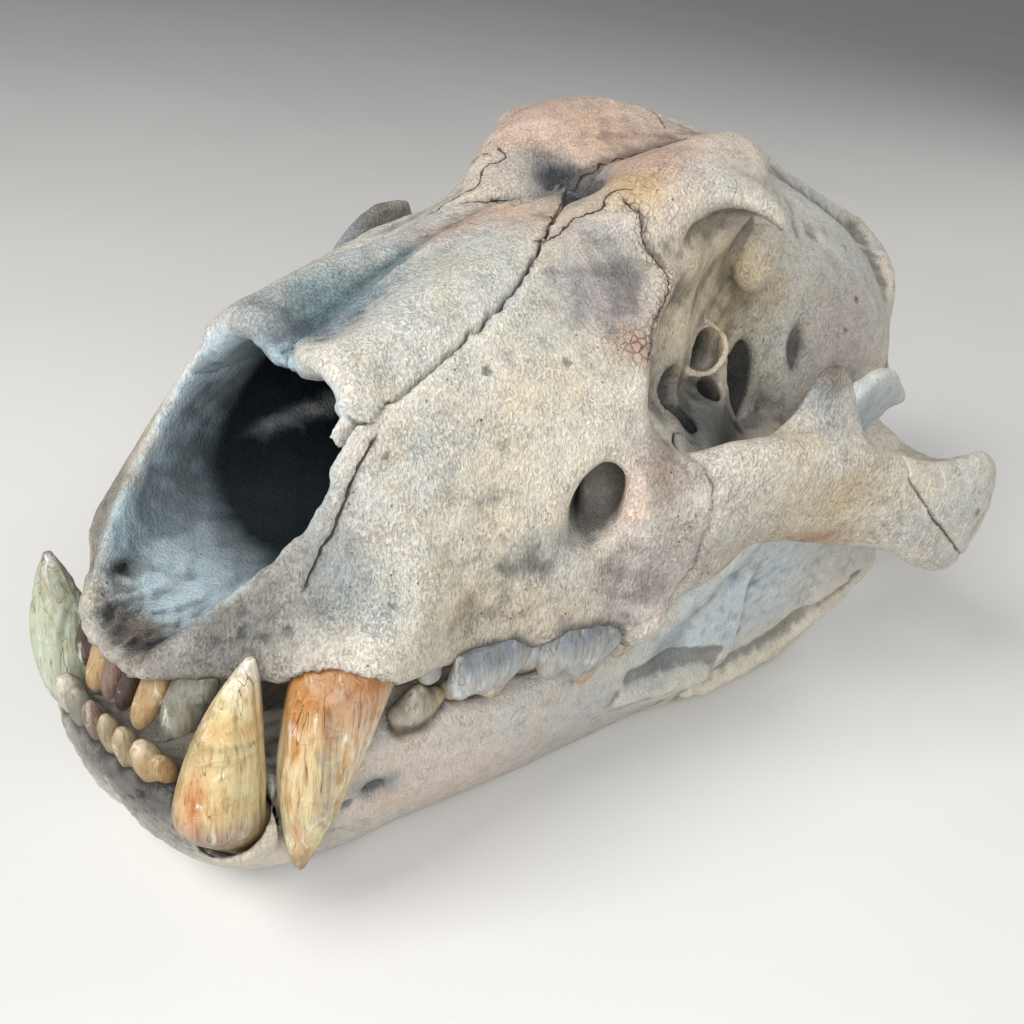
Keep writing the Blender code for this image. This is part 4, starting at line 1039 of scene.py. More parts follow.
# ---- sculpted bones
@dataclass
class Cranium:
    """The cranium with its nasal and cheek bones.

    Attributes:
        voxel: Grain of the final skin in millimetres.
        fine: Grain of the small bones in millimetres.
    """

    voxel: float = 1.3
    fine: float = 0.95

    def build(self) -> dict[str, Object]:
        """Builds, cuts and sculpts the five bones.

        Returns:
            The finished bones by node name.
        """
        maker = SkullForm()
        bones = maker.parted(maker.rough())
        skull = bones["cranium"]
        for side, size in UPPER_CANINES.items():
            boolean(skull, size.socket(side, GAP + 0.25), "DIFFERENCE")
        for side, size in LOWER_CANINES.items():
            boolean(skull, size.socket(side, 3 * GAP), "DIFFERENCE")
        self.orbit_forms(skull)
        for name, bone in bones.items():
            skin = self.skinned(bone, self.voxel if name == "cranium" else self.fine)
            self.carve(skin, name)
            skin.commit()
            thin(bone, CRANIUM_FACES)
        return bones

    def orbit_forms(self, skull: Object) -> None:
        """Adds the rings, rib and knobs inside both orbits and sinks the holes between them.

        Args:
            skull: The cranium.
        """
        added = [loop("eye_ring", (37.6, 191.8, 129.5), 8.2, 8.8, 1.7),
                 loop("eye_ring_low", (39.4, 199, 110.6), 6.2, 8, 1.5),
                 sweep("eye_rib", ((37, 206, 132, 2, 2), (39.5, 208.3, 114.8, 2.2, 2.2),
                                   (41.5, 214.6, 100.7, 2.4, 2.4), (44, 224.9, 89, 3, 3)), 16, 12),
                 ball("eye_knob", (39, 214, 156), (7, 9, 12)),
                 ball("eye_wall", (36, 246, 112), (7, 8, 13))]
        holes = [ball("eye_hole", (33.4, 198.6, 126.4), (6.6, 7, 7.4)),
                 ball("eye_hole_low", (35, 206.5, 106.6), (5.6, 6.4, 8)),
                 ball("eye_slit", (34, 226, 107), (6.5, 7, 17)),
                 ball("eye_corner", (44.5, 167, 115), (9, 11, 16)),
                 ball("eye_hole_floor", (40, 211, 96), (5.5, 5, 4.5))]
        for piece in both(added):
            boolean(skull, piece, "UNION")
        for piece in both(holes):
            boolean(skull, piece, "DIFFERENCE")

    def skinned(self, bone: Object, voxel: float) -> Skin:
        """Refines one bone's skin and evens it."""
        fused(bone, voxel)
        skin = Skin(bone)
        skin.smooth(5 if voxel > 1 else 4, 0.5, 0.7)
        return skin

    def carve(self, skin: Skin, name: str) -> None:
        """Cuts the sutures, pits, pockets and swellings that lie on one bone.

        Args:
            skin: The surface.
            name: Name of the new object.
        """
        for path, width, depth in ((MIDLINE[7:], 4.5, 1.4), (MIDLINE[7:], 0.9, 0.6), (BROW_CRACK, 0.8, 0.6),
                                   (CORONAL, 0.9, 0.4), (NASO_MAXILLARY[9:], 0.8, 0.3)):
            skin.groove(path, width, depth)
        if name.startswith("nasal"):
            left = name.endswith("left")
            skin.raised(MIDLINE[:9], 4.5 if left else 3.0, 2.2 if left else 1.6)
            if not left:
                skin.raised(np.array(MIDLINE[:8], float) - (6, 0, 0), 7.0, -2.2)
            skin.groove(HOOD[1 if left else 0], 4.2, -2.4, 1.5)
        skin.commit()
        if name == "cranium":
            self.hollow(skin)
        grain = 0.28 * wobble(skin.points, 7.5, 2.0) + 0.16 * wobble(skin.points, 2.6, 5.0)
        x, y, z = skin.points.T
        snout = np.clip((26 - y) / 14, 0, 1) * np.clip((124 - z) / 16, 0, 1)
        grain = grain + snout * (0.55 * wobble(skin.points, 2.9, 9.0) + 0.35 * wobble(skin.points, 1.7, 3.0))
        margin = np.clip(1 - np.abs(z - 76) / 9, 0, 1) * np.clip((150 - y) / 20, 0, 1)
        grain = grain + 0.5 * margin * wobble(skin.points, 2.4, 6.0)
        scar = np.clip(1 - np.abs(z - 88) / 12, 0, 1) * np.clip((np.abs(x) - 78) / 8, 0, 1)
        grain = grain + 0.45 * scar * wobble(skin.points * (1.5, 0.7, 0.7), 2.6, 8.0)
        skin.points = skin.points + skin.normals * grain[:, None]

    def hollow(self, skin: Skin) -> None:
        """Presses the root pit, the eye pockets, foramina, tooth swellings and palate.

        Args:
            skin: The surface.
        """
        presses = (
            ((-1, 160, 180), (9, 7.5, 9), 4.2, 2), ((-1, 152, 177), (6, 8, 6), 1.2, 2),
            ((46, 178, 108), (10, 9, 9), 3, 2), ((44, 247, 120), (4, 3.5, 8), 3, 3),
            ((42, 160, 168), (8, 9, 6), 4.5, 2), ((45, 172, 173), (9, 10, 6), 6.5, 2),
            ((49, 183, 171), (9, 9, 6), 7.5, 2), ((54, 193, 166), (8, 8, 6), 7, 2),
            ((40, 186, 152), (10, 18, 16), 3.0, 2),
            ((62, 88, 100), (7, 13, 7), 1.6, 2), ((69, 121, 114), (5, 5, 13), -1.8, 2),
        )
        for side in Side:
            for centre, radii, depth, sharp in presses:
                skin.press((centre[0] * side.value, *centre[1:]), radii, depth, sharp)
        for centre, radii, depth in (((48, 34, 84), (16, 15, 10), -1.2), ((57, 80, 80), (8, 13, 7), -0.9),
                                     ((65, 110, 77), (8, 14, 7), -1.0), ((57, 95, 78), (6, 4, 6), 0.8),
                                     ((52, 66, 79), (6, 5, 6), 0.9), ((7, 24, 77), (3.5, 8, 6), 5.0),
                                     ((30, 100, 73), (4, 5, 5), 2.5), ((0, 70, 78), (3, 60, 6), -1.0)):
            for side in Side:
                skin.press((centre[0] * side.value, *centre[1:]), radii, depth)
        for spot, size in PITS:
            skin.press(spot, (size, size, size), 1.1 * size)
        skin.commit()


PITS = (((39, 84, 148), 1.2), ((47, 106, 148), 0.9), ((37, 52, 133), 0.7), ((39, 21, 96), 1.2), ((63, 87, 95), 0.8),
        ((44, 62, 128), 0.7), ((48, 70, 122), 0.6), ((46, 80, 128), 0.8), ((50, 64, 116), 0.7), ((43, 72, 134), 0.7),
        ((52, 76, 118), 0.6), ((49, 88, 130), 0.6), ((-30, 90, 156), 0.8), ((19, 71, 159), 0.7), ((2, 126, 172), 0.7),
        ((-40, 84, 146), 1.1), ((-50, 70, 118), 0.8), ((34, 292, 146), 1.0), ((44, 300, 138), 0.9),
        ((26, 284, 152), 0.8), ((48, 284, 132), 1.0), ((38, 310, 136), 0.8), ((52, 272, 124), 0.9),
        ((30, 302, 148), 0.7), ((22, 320, 142), 0.8), ((-34, 292, 146), 0.9), ((-44, 300, 138), 0.9))


# Painted shade: centre, reach and darkness of the shadows painted into the eye pockets and holes, the root pit, the
# cheek canal and under the brow hook.
POCKET_SHADE = (((32, 201, 125), (6.5, 8, 7.5), 0.95), ((34, 208, 106), (7, 7.5, 9), 1.0), ((36, 200, 118), (7, 6, 6), 0.6),
           ((46, 166, 114), (12, 13, 17), 0.97), ((33, 227, 107), (7.5, 9, 18), 0.97),
           ((42, 190, 100), (22, 30, 13), 0.9), ((40, 212, 95), (11, 11, 8), 0.97), ((45, 248, 119), (3.5, 4, 9), 0.6),
           ((32, 238, 103), (11, 13, 9), 0.8),
           ((-3, 161, 177), (7, 6, 6), 0.3), ((55, 107, 112), (8, 8, 10), 1.0), ((52, 190, 171), (9, 10, 3.5), 0.6))


def thin(obj: Object, most: int) -> Object:
    """Lowers the triangle count below a limit, keeping the shape."""
    pick(obj)
    count = sum(len(p.vertices) - 2 for p in obj.data.polygons)
    if count > most:
        apply(obj, "DECIMATE", ratio=most / count, use_collapse_triangulate=True)
    return obj


#    raised shelf behind the cheek teeth and thick lower border of the lower jaw
SHELF = ((61, 138, 29), (63, 148, 29), (64, 158, 29), (65.5, 168, 28), (67, 177, 26), (68, 186, 22))
BORDER = ((65, 180, 12), (68, 198, 9), (71, 214, 9), (74, 230, 12), (76.5, 248, 20), (78, 268, 30))


@dataclass
class Jaw:
    """One half of the lower jaw.

    Attributes:
        side: Which half.
        inward: How far the canine's swelling sits inward, in millimetres.
        rearward: How far it sits to the rear.
        voxel: Grain of the final skin in millimetres.
    """

    side: Side
    inward: float = 2.0
    rearward: float = -0.8
    voxel: float = 1.15

    def build(self) -> Object:
        """Builds, cuts and sculpts the half jaw on the left, then puts it on its side."""
        jaw = fused(joined("mandible", self.pieces()), ROUGH_VOXEL)
        notch = sweep("notch", ((55, 258, 95.5, 16.5, 15), (110, 258, 95.5, 16.5, 15)), 6, 28)
        hook = sweep("hook", ((55, 250, 104.5, 18, 8.5), (110, 250, 104.5, 18, 8.5)), 6, 28)
        jaw = fused(boolean(boolean(jaw, notch, "DIFFERENCE"), hook, "DIFFERENCE"), ROUGH_VOXEL)
        Skin(jaw).smooth(5)
        boolean(jaw, UPPER_CANINES[self.side].socket(Side.LEFT, 4 * GAP), "DIFFERENCE")
        boolean(jaw, LOWER_CANINES[self.side].socket(Side.LEFT, GAP + 0.9), "DIFFERENCE")
        fused(jaw, self.voxel)
        skin = Skin(jaw)
        skin.smooth(4, 0.5, 0.7)
        self.carve(skin)
        skin.points[:, 2] = np.maximum(skin.points[:, 2], 0.0)
        skin.points[:, 0] = np.maximum(skin.points[:, 0], GAP / 2)
        skin.commit()
        thin(jaw, JAW_FACES)
        return jaw if self.side is Side.LEFT else swapped(jaw)

    def pieces(self) -> list[Object]:
        """The body, plate, bars and knobs."""
        k, back = self.inward, self.rearward
        return [
            section_form("jaw_body", JAW, jaw_ring, 70, 40, False),
            section_form("jaw_plate", RAMUS, plate_ring, 34, 32, False),
            sweep("canine_swelling", ((28, 33, 15, 10, 10), (30, 27, 25, 12, 12),
                                      (33.5 - k, 17.5 + 0.6 * back, 34, 12.6, 13),
                                      (37 - k, 9 + back, 44.5, 13.8, 14.4)), 18, 24),
            sweep("jaw_neck", ((76, 244, 50, 6, 30), (79, 256, 50, 6, 27), (82, 264, 51, 5.5, 22),
                               (85, 271, 53, 4.5, 15)), 18, 24, 2.6),
            sweep("jaw_condyle", ((71, 270, 65, 6, 6), (82, 269, 66.5, 7.5, 8), (95, 268, 66.5, 8, 8.2),
                                  (105, 267, 65.5, 7, 7), (111, 266, 64.5, 4, 4)), 18, 18),
            sweep("jaw_angle", ((71, 246, 19, 5, 13), (75, 262, 28, 6, 12), (78, 275, 34, 5, 8),
                                (79, 285, 37, 3.5, 4.5)), 18, 18),
            sweep("jaw_rim", ((55, 182, 6, 6, 7), (60, 200, 5, 6, 6), (64.5, 216, 6, 6, 6.5), (70, 234, 9, 6, 6.5),
                              (73.5, 250, 17, 6, 7), (75.5, 272, 29, 5, 7)), 22, 18),
            sweep("coronoid_front", ((62, 156, 50, 9, 12), (70, 176, 70, 7, 10), (77, 194, 94, 5.5, 10),
                                     (82, 208, 114, 5, 9), (83, 222, 126, 4, 6)), 22, 18),
        ]

    def carve(self, skin: Skin) -> None:
        """Presses the nerve holes, the muscle hollow and the rough rims.

        Args:
            skin: The surface.
        """
        shelf = np.array(SHELF, float)
        border = np.array(BORDER, float)
        for path, width, depth in ((shelf, 3.2, -2.6), (shelf + (1, 2, 7.5), 3.2, 2.4), (border, 3.2, -1.8),
                                   (border + (1, 0, 8), 3.4, 1.4)):
            skin.groove(path, width, depth)
        skin.commit()
        for centre, radii, depth, sharp in (
                ((43, 52, 29), (3.2, 3.6, 3), 4, 3), ((41, 44, 26), (2, 2, 2), 2, 3),
                ((76, 190, 46), (12, 34, 21), 5.0, 2), ((82, 226, 88), (8, 16, 26), 1.6, 2),
                ((66, 160, 38), (7, 9, 9), 3.2, 2), ((40, 30, 40), (5, 8, 7), 1.5, 2),
                ((66, 168, 22), (9, 16, 6), -2.4, 2), ((70, 206, 10), (9, 26, 6), -2.0, 2),
                ((12, -7, 40), (1.6, 2, 1.6), 2, 2), ((22, -5, 34), (1.5, 2, 1.5), 2, 2),
                ((17, -7, 46), (1.2, 2, 1.2), 1.5, 2)):
            skin.press(centre, radii, depth, sharp)
        skin.commit()
        x, y, z = skin.points.T
        grain = 0.25 * wobble(skin.points, 7.0, 3.0) + 0.15 * wobble(skin.points, 2.5, 8.0)
        front = np.clip((12 - y) / 10, 0, 1)
        rim = np.clip((y - 150) / 20, 0, 1) * np.clip((16 - z) / 9, 0, 1) * np.clip((z - 1.5) / 3, 0, 1)
        grain = grain + front * 0.55 * wobble(skin.points, 2.6, 1.0)
        grain = grain + rim * (0.9 * wobble(skin.points, 6.0, 2.0) + 0.4 * wobble(skin.points, 2.8, 4.0))
        gum = np.clip(1 - np.abs(z - 44) / 6, 0, 1) * np.clip((140 - y) / 20, 0, 1)
        grain = grain + gum * 0.4 * wobble(skin.points, 2.4, 6.0)
        grain = grain * np.clip(z / 1.5, 0, 1)
        skin.points = skin.points + skin.normals * grain[:, None]


# ---- teeth
UPPER_CANINE_STAINS_AND_SHADE = (
    (Tone.AMBER, (50, 24, 82), (16, 14, 22), 0.6), (Tone.UMBER, (52, 26, 84), (16, 12, 12), 0.3),
    (Tone.AMBER, (46, 19, 74), (3, 5, 9), 0.9), (Tone.RUST, (58, 30, 82), (5, 7, 16), 0.35),
    (Tone.RUST, (50, 18, 42), (1.4, 5, 12), 0.5), (Tone.CREAM, (45, 16, 58), (6, 7, 14), 0.5),
    # UMBER on the inner side is painted shade down that edge of the tooth.
    (Tone.CREAM, (58, 30, 62), (5, 8, 18), 0.7), (Tone.UMBER, (36, 26, 76), (9, 9, 30), 0.5),
    (Tone.STEEL, (55, 23, 68), (1.0, 4, 16), 0.6), (Tone.STEEL, (54, 21, 48), (0.9, 4, 9), 0.45),
    (Tone.UMBER, (48, 19, 26), (6, 6, 5), 0.6),
)
LOWER_CANINE_STAINS_AND_SHADE = (
    (Tone.RUST, (38.5, -7, 56), (2.2, 6, 9), 0.85), (Tone.AMBER, (38.5, -7, 60), (5, 7, 12), 0.35),
    (Tone.UMBER, (40, -4, 45), (16, 14, 4.5), 0.9), (Tone.ROSE, (40, -4, 48), (16, 14, 3.5), 0.6),
    (Tone.OCHRE, (40, -4, 76), (9, 8, 3), 0.5), (Tone.OLIVE, (36, -4, 80), (4, 6, 10), 0.3),
    (Tone.OLIVE, (41, 2, 72), (16, 16, 0.9), 0.6), (Tone.OLIVE, (41, 2, 69), (16, 16, 0.6), 0.4),
    (Tone.AMBER, (41, 4, 76), (10, 10, 2.5), 0.3), (Tone.PALE, (39, 9, 90), (6, 6, 6), 0.5),
    # UMBER on the inner side is painted shade down the edge that faces the gap beside the incisors.
    (Tone.UMBER, (29, 2, 54), (5, 9, 20), 0.8),
)


@dataclass(frozen=True)
class ToothFinish:
    """How one tooth's enamel looks.

    Attributes:
        root: Tone at the root.
        crown: Tone of the crown.
        tip: Tone at the tip.
        tone_patches: Patches of tone.
        streak: Strength of the lengthways streaks.
        crack: Strength of the fine dark cracks.
    """

    root: Any
    crown: Any
    tip: Any
    tone_patches: Sequence[Any] = ()
    streak: float = 0.5
    crack: float = 0.6

    def tint(self, points: Array, share: Array) -> Array:
        """Base colour at each point.

        Args:
            points: Positions in millimetres.
            share: 0 at the root and 1 at the tip.

        Returns:
            Scene-linear colours with an alpha of one.
        """
        share = np.clip(share + 0.05 * wobble(points, 4, 1.0), 0, 1)[:, None]
        root, crown, tip = (linear(c) for c in (self.root, self.crown, self.tip))
        low = np.clip((share - 0.1) / 0.35, 0, 1)
        high = np.clip((share - 0.78) / 0.22, 0, 1)
        colour = root + (crown - root) * low * low * (3 - 2 * low)
        colour = colour + (tip - colour) * high * high
        bent = points + 1.6 * np.stack([wobble(points, 4, k) for k in (0.3, 4.1, 7.7)], axis=1)
        return patched(colour, bent, self.tone_patches, 1.0)


@dataclass
class Canine:
    """One canine, root, crown and worn tip.

    Attributes:
        name: Node that it stands for.
        size: Its sizes.
        side: Which side of the head.
        finish: Its enamel.
    """

    name: str
    size: CanineSize
    side: Side
    finish: ToothFinish

    def build(self) -> Object:
        """A fine sweep with shallow flutes and a rounded point."""
        tooth = sweep(self.name + "_enamel", self.size.stations(-0.02), 120, 88, level=True)
        if self.side is Side.RIGHT:
            tooth = swapped(tooth)
        skin = Skin(tooth)
        root, tip = self.size.root, self.size.tip
        share = (skin.points[:, 2] - root[2]) / (tip[2] - root[2])
        free = np.clip((share - 0.25) / 0.15, 0, 1) * np.clip((1.02 - share) / 0.2, 0, 1)
        middle = np.array([self.size.neck[0] * self.side.value, (self.size.neck[1] + tip[1]) / 2])
        around = np.arctan2(skin.points[:, 1] - middle[1], skin.points[:, 0] - middle[0])
        flute = 0.16 * np.cos(around * 9) + 0.1 * np.cos(around * 17 + share * 5)
        rough = flute - 0.14 + 0.12 * wobble(skin.points * (1, 1, 0.25), 2.2, 3.0)
        skin.points = skin.points + skin.normals * (free * rough)[:, None]
        skin.commit()
        skin.write("tint", self.finish.tint(skin.points, share))
        return tooth


@dataclass(frozen=True)
class Cusp:
    """One cusp: rows of x, y, z, half width and half length from the gum to the point."""

    rows: Sequence[Row]

    def build(self, side: Side) -> Object:
        """The cusp as a closed form."""
        made = sweep("cusp", self.rows, 14, 20, level=True)
        return made if side is Side.LEFT else swapped(made)


def peg(base: Row, tip: Row, wide: float, deep: float, point: float = 0.42) -> Cusp:
    """A front tooth from its socket to a blunt tip."""
    a, b = np.array(base, float), np.array(tip, float)
    rows = [(*(a + (b - a) * t), wide * k, deep * k)
            for t, k in ((-0.3, 0.7), (0.0, 0.74), (0.25, 0.82), (0.5, 0.98), (0.72, 1.0), (0.88, 0.76), (1.0, point))]
    return Cusp(rows)


@dataclass(frozen=True)
class SmallTooth:
    """An incisor or cheek tooth made of fused cusps.

    Attributes:
        name: Plain name of the tooth.
        cusps: Its cusps on the left side.
        finish: Its enamel.
    """

    name: str
    cusps: Sequence[Cusp]
    finish: ToothFinish

    def build(self, side: Side) -> Object:
        """The tooth on one side, fused, softened and tinted.

        Args:
            side: Side of the head.

        Returns:
            The built piece.
        """
        made = fused(joined(self.name, [c.build(side) for c in self.cusps]), TOOTH_VOXEL)
        skin = Skin(made)
        skin.smooth(4, 0.5, 0.8)
        skin.points = skin.points + skin.normals * (0.09 * wobble(skin.points, 1.3, 2.0))[:, None]
        skin.commit()
        z = skin.points[:, 2]
        rows = self.cusps[0].rows
        share = (z - rows[0][2]) / (rows[-1][2] - rows[0][2])
        skin.write("tint", self.finish.tint(skin.points, share))
        made.name = self.name + "_" + side.word
        return made


CHEEK_STAINS = (
    (Tone.ICE, (60, 68, 71), (5, 14, 3), 0.6), (Tone.AMBER, (60, 90, 61), (5, 6, 4), 0.7),
    (Tone.OCHRE, (60, 70, 62), (5, 9, 3), 0.7), (Tone.INK, (66, 103, 66), (3, 2.2, 2.4), 0.9),
    (Tone.OCHRE, (69, 128, 60), (5, 8, 4), 0.8), (Tone.RUST, (66, 100, 73), (3, 2.5, 3), 0.8),
    (Tone.ICE, (69, 114, 66), (4, 14, 2), 0.6), (Tone.INK, (69, 119, 63), (3, 1.5, 4), 0.6),
    (Tone.AMBER, (68, 108, 54), (5, 5, 3), 0.6), (Tone.OCHRE, (44, 73, 51), (5, 5, 4), 0.8),
)
HONEY = ToothFinish((84, 60, 42), (148, 134, 106), (180, 170, 144), (), 0.45, 0.5)
SMOKE = ToothFinish((70, 58, 48), (124, 124, 114), (160, 156, 144), (), 0.35, 0.5)
MILK = ToothFinish((96, 78, 60), (172, 168, 154), (198, 194, 178), CHEEK_STAINS, 0.35, 0.5)
AMBER = ToothFinish((84, 50, 30), (166, 140, 102), (208, 196, 172), (), 0.45, 0.5)
BROWN = ToothFinish((36, 28, 24), (62, 50, 42), (92, 74, 58), (), 0.4, 0.5)
SLATE = ToothFinish((128, 136, 144), (164, 166, 164), (196, 166, 112), CHEEK_STAINS, 0.5, 0.6)
SHELL = ToothFinish((62, 46, 38), (122, 104, 92), (160, 150, 140), (), 0.4, 0.5)

UPPER_ROW = (
    (SmallTooth("upper_incisor_1", (peg((3.4, 3, 76), (3.0, -0.8, 61.5), 2.5, 3.4),), BROWN), SHELL),
    (SmallTooth("upper_incisor_2", (peg((10.4, 4, 77), (9.8, -0.5, 59.5), 3.4, 3.8, 0.3),
                                    peg((12.6, 5, 76), (12.4, 1.6, 66), 2.2, 2.8)), AMBER), AMBER),
    (SmallTooth("upper_incisor_3", (peg((19.4, 10, 83), (18.6, 3.6, 60.5), 5.4, 5.4, 0.3),
                                    peg((23, 11, 81), (22.4, 7.4, 71), 3.4, 4.2)), SMOKE), BROWN),
    (SmallTooth("upper_premolar_2", (peg((51, 60, 77), (51.5, 59, 69), 3.2, 3.6),), SLATE), SLATE),
    (SmallTooth("upper_premolar_3", (
        Cusp(((58, 78, 80, 4.5, 15), (59, 77.5, 74, 5.2, 16.4), (59.6, 77, 69, 4.4, 14.5), (59.8, 77, 64.5, 2.8, 7),
              (59.8, 77.5, 60, 1, 1.8))),
        peg((58.5, 64.5, 77), (59.4, 63.5, 66.5), 3.4, 4.2),
        peg((60, 91, 76), (60.6, 90.5, 64), 3.8, 4.4)), SLATE), SLATE),
    (SmallTooth("upper_carnassial", (
        Cusp(((66, 111, 79, 4.8, 18), (67.6, 112, 73, 5.6, 19.5), (68, 112, 67, 5, 17.5), (67.8, 110.5, 60, 3.2, 9),
              (67.6, 109.6, 53, 1, 2.2))),
        Cusp(((68, 128, 75, 4, 9), (69, 128, 68, 4.4, 10.5), (69.4, 128, 61, 3, 9), (69.2, 127.5, 56.5, 1.2, 6))),
        peg((64.5, 96, 78), (65.4, 94.6, 61.5), 3.8, 5.2),
        peg((60, 100, 76), (60, 100, 68), 3.6, 4.2)), SLATE), SLATE),
    (SmallTooth("upper_molar", (peg((61, 134, 74), (62, 134, 65), 4.2, 3.2),), SLATE), SLATE),
)
LOWER_ROW = (
    (SmallTooth("lower_incisor_1", (peg((3.6, -2, 44), (3.4, -6.6, 63), 2.7, 3.2, 0.3),
                                    peg((5.4, -2, 46), (5.6, -5.4, 57), 1.8, 2.4)), HONEY), SHELL),
    (SmallTooth("lower_incisor_2", (peg((10.2, -2, 44), (10.2, -6.4, 63), 3.0, 3.5, 0.3),
                                    peg((12.6, -1.4, 46), (12.8, -4.6, 57), 1.9, 2.6)), HONEY), SMOKE),
    (SmallTooth("lower_incisor_3", (peg((17.2, 0, 44), (17.0, -5.6, 62.5), 3.7, 4.2, 0.35),
                                    peg((20.6, 1, 47), (21.4, -3, 59), 2.3, 3.2)), AMBER), MILK),
    (SmallTooth("lower_premolar_3", (
        Cusp(((41.5, 66, 46, 4.5, 8.6), (42.5, 66, 52, 4.7, 8.4), (43.2, 65, 56, 3.4, 4.8),
              (43.3, 64.5, 59.6, 1, 1.6))),
        peg((42.2, 59.5, 48), (42.6, 59, 55), 3, 3.2), peg((43, 72, 48), (43.4, 72, 55), 3, 3.2)), MILK), MILK),
    (SmallTooth("lower_premolar_4", (
        Cusp(((43, 90, 41, 5, 12), (43, 90, 50, 5, 11.6), (43, 89, 54.5, 3.4, 6), (43, 88.5, 58.5, 1, 1.4))),
        peg((43, 79.5, 46), (43, 79, 53.5), 3.2, 3.4), peg((43.6, 100, 46), (44, 100, 53), 3.4, 3.6)), MILK), MILK),
    (SmallTooth("lower_carnassial", (
        Cusp(((47, 112, 44, 5, 10.6), (46.6, 112, 52, 5, 11), (46.4, 110.6, 56.5, 3.2, 7), (46.4, 109.5, 60, 1, 2))),
        Cusp(((49, 127, 46, 5, 10.6), (48.4, 127, 53.5, 4.8, 10), (48.2, 128.4, 58, 2.8, 7), (48, 129.4, 61, 1, 2)))),
        MILK), MILK),
)


# ---- node materials
class Graph:
    """Short hand for building a node tree."""

    def __init__(self, tree: bpy.types.NodeTree) -> None:
        """Keeps the tree."""
        self.tree = tree

    def put(self, socket: Any, value: Any) -> None:
        """Links a socket or sets a plain value."""
        if isinstance(value, bpy.types.NodeSocket):
            self.tree.links.new(value, socket)
        else:
            socket.default_value = value

    def node(self, kind: str, inputs: dict[Any, Any] | None = None, **settings: Any) -> bpy.types.Node:
        """Adds one node with its settings and inputs."""
        made = self.tree.nodes.new("ShaderNode" + kind)
        for key, value in settings.items():
            setattr(made, key, value)
        for key, value in (inputs or {}).items():
            self.put(made.inputs[key], value)
        return made

    def math(self, operation: str, *values: Any, clamp: bool = False) -> Any:
        """One maths step."""
        return self.node("Math", dict(enumerate(values)), operation=operation, use_clamp=clamp).outputs[0]

    def times(self, first: Any, second: Any, clamp: bool = False) -> Any:
        """The product of two values."""
        return self.math("MULTIPLY", first, second, clamp=clamp)

    def plus(self, first: Any, second: Any, clamp: bool = False) -> Any:
        """The sum of two values."""
        return self.math("ADD", first, second, clamp=clamp)

    def minus(self, first: Any, second: Any, clamp: bool = False) -> Any:
        """The first value less the second."""
        return self.math("SUBTRACT", first, second, clamp=clamp)

    def scaled(self, vector: Any, scale: Row) -> Any:
        """A vector stretched by three factors."""
        return self.node("Mapping", {"Vector": vector, "Scale": tuple(scale)}, vector_type="POINT").outputs[0]

    def noise(self, vector: Any, scale: Any, detail: float = 3.0, rough: float = 0.55, bend: float = 0.0) -> Any:
        """Noise from 0 to 1."""
        inputs = {"Vector": vector, "Scale": scale, "Detail": detail, "Roughness": rough, "Distortion": bend}
        return self.node("TexNoise", inputs).outputs["Fac"]

    def ranged(self, value: Any, low: float, high: float, start: Any = 0.0, end: Any = 1.0,
               smooth: bool = True) -> Any:
        """A value moved from one range to another and held inside it."""
        inputs = {"Value": value, "From Min": low, "From Max": high, "To Min": start, "To Max": end}
        kind = "SMOOTHSTEP" if smooth else "LINEAR"
        return self.node("MapRange", inputs, interpolation_type=kind).outputs[0]

    def mixed(self, share: Any, first: Any, second: Any, blend: str = "MIX") -> Any:
        """Two colours mixed by a share."""
        made = self.node("Mix", data_type="RGBA", blend_type=blend, clamp_result=True)
        self.put(made.inputs[0], share)
        self.put(made.inputs[6], first)
        self.put(made.inputs[7], second)
        return made.outputs[2]

    def parts(self, name: str) -> tuple[Any, Any, Any]:
        """The three values of a vector attribute."""
        split = self.node("SeparateXYZ", {0: self.node("Attribute", attribute_name=name).outputs["Vector"]})
        return split.outputs[0], split.outputs[1], split.outputs[2]


def shared(name: str, inputs: dict[str, Any], outputs: dict[str, str]) -> tuple[Any, Graph, Any, Any]:
    """Starts a shader node group.

    Args:
        name: The group's name.
        inputs: Socket names with their first values; a number, a colour or a vector.
        outputs: Socket names with their kinds.

    Returns:
        The group, its graph, its input node and its output node.
    """
    group = bpy.data.node_groups.new(name, "ShaderNodeTree")
    for key, value in inputs.items():
        kind = {float: "Float", tuple: "Color"}.get(type(value), "Vector")
        made = group.interface.new_socket(key, in_out="INPUT", socket_type="NodeSocket" + kind)
        if value is not None:
            made.default_value = value
    for key, kind in outputs.items():
        group.interface.new_socket(key, in_out="OUTPUT", socket_type="NodeSocket" + kind)
    graph = Graph(group)
    return group, graph, group.nodes.new("NodeGroupInput"), group.nodes.new("NodeGroupOutput")


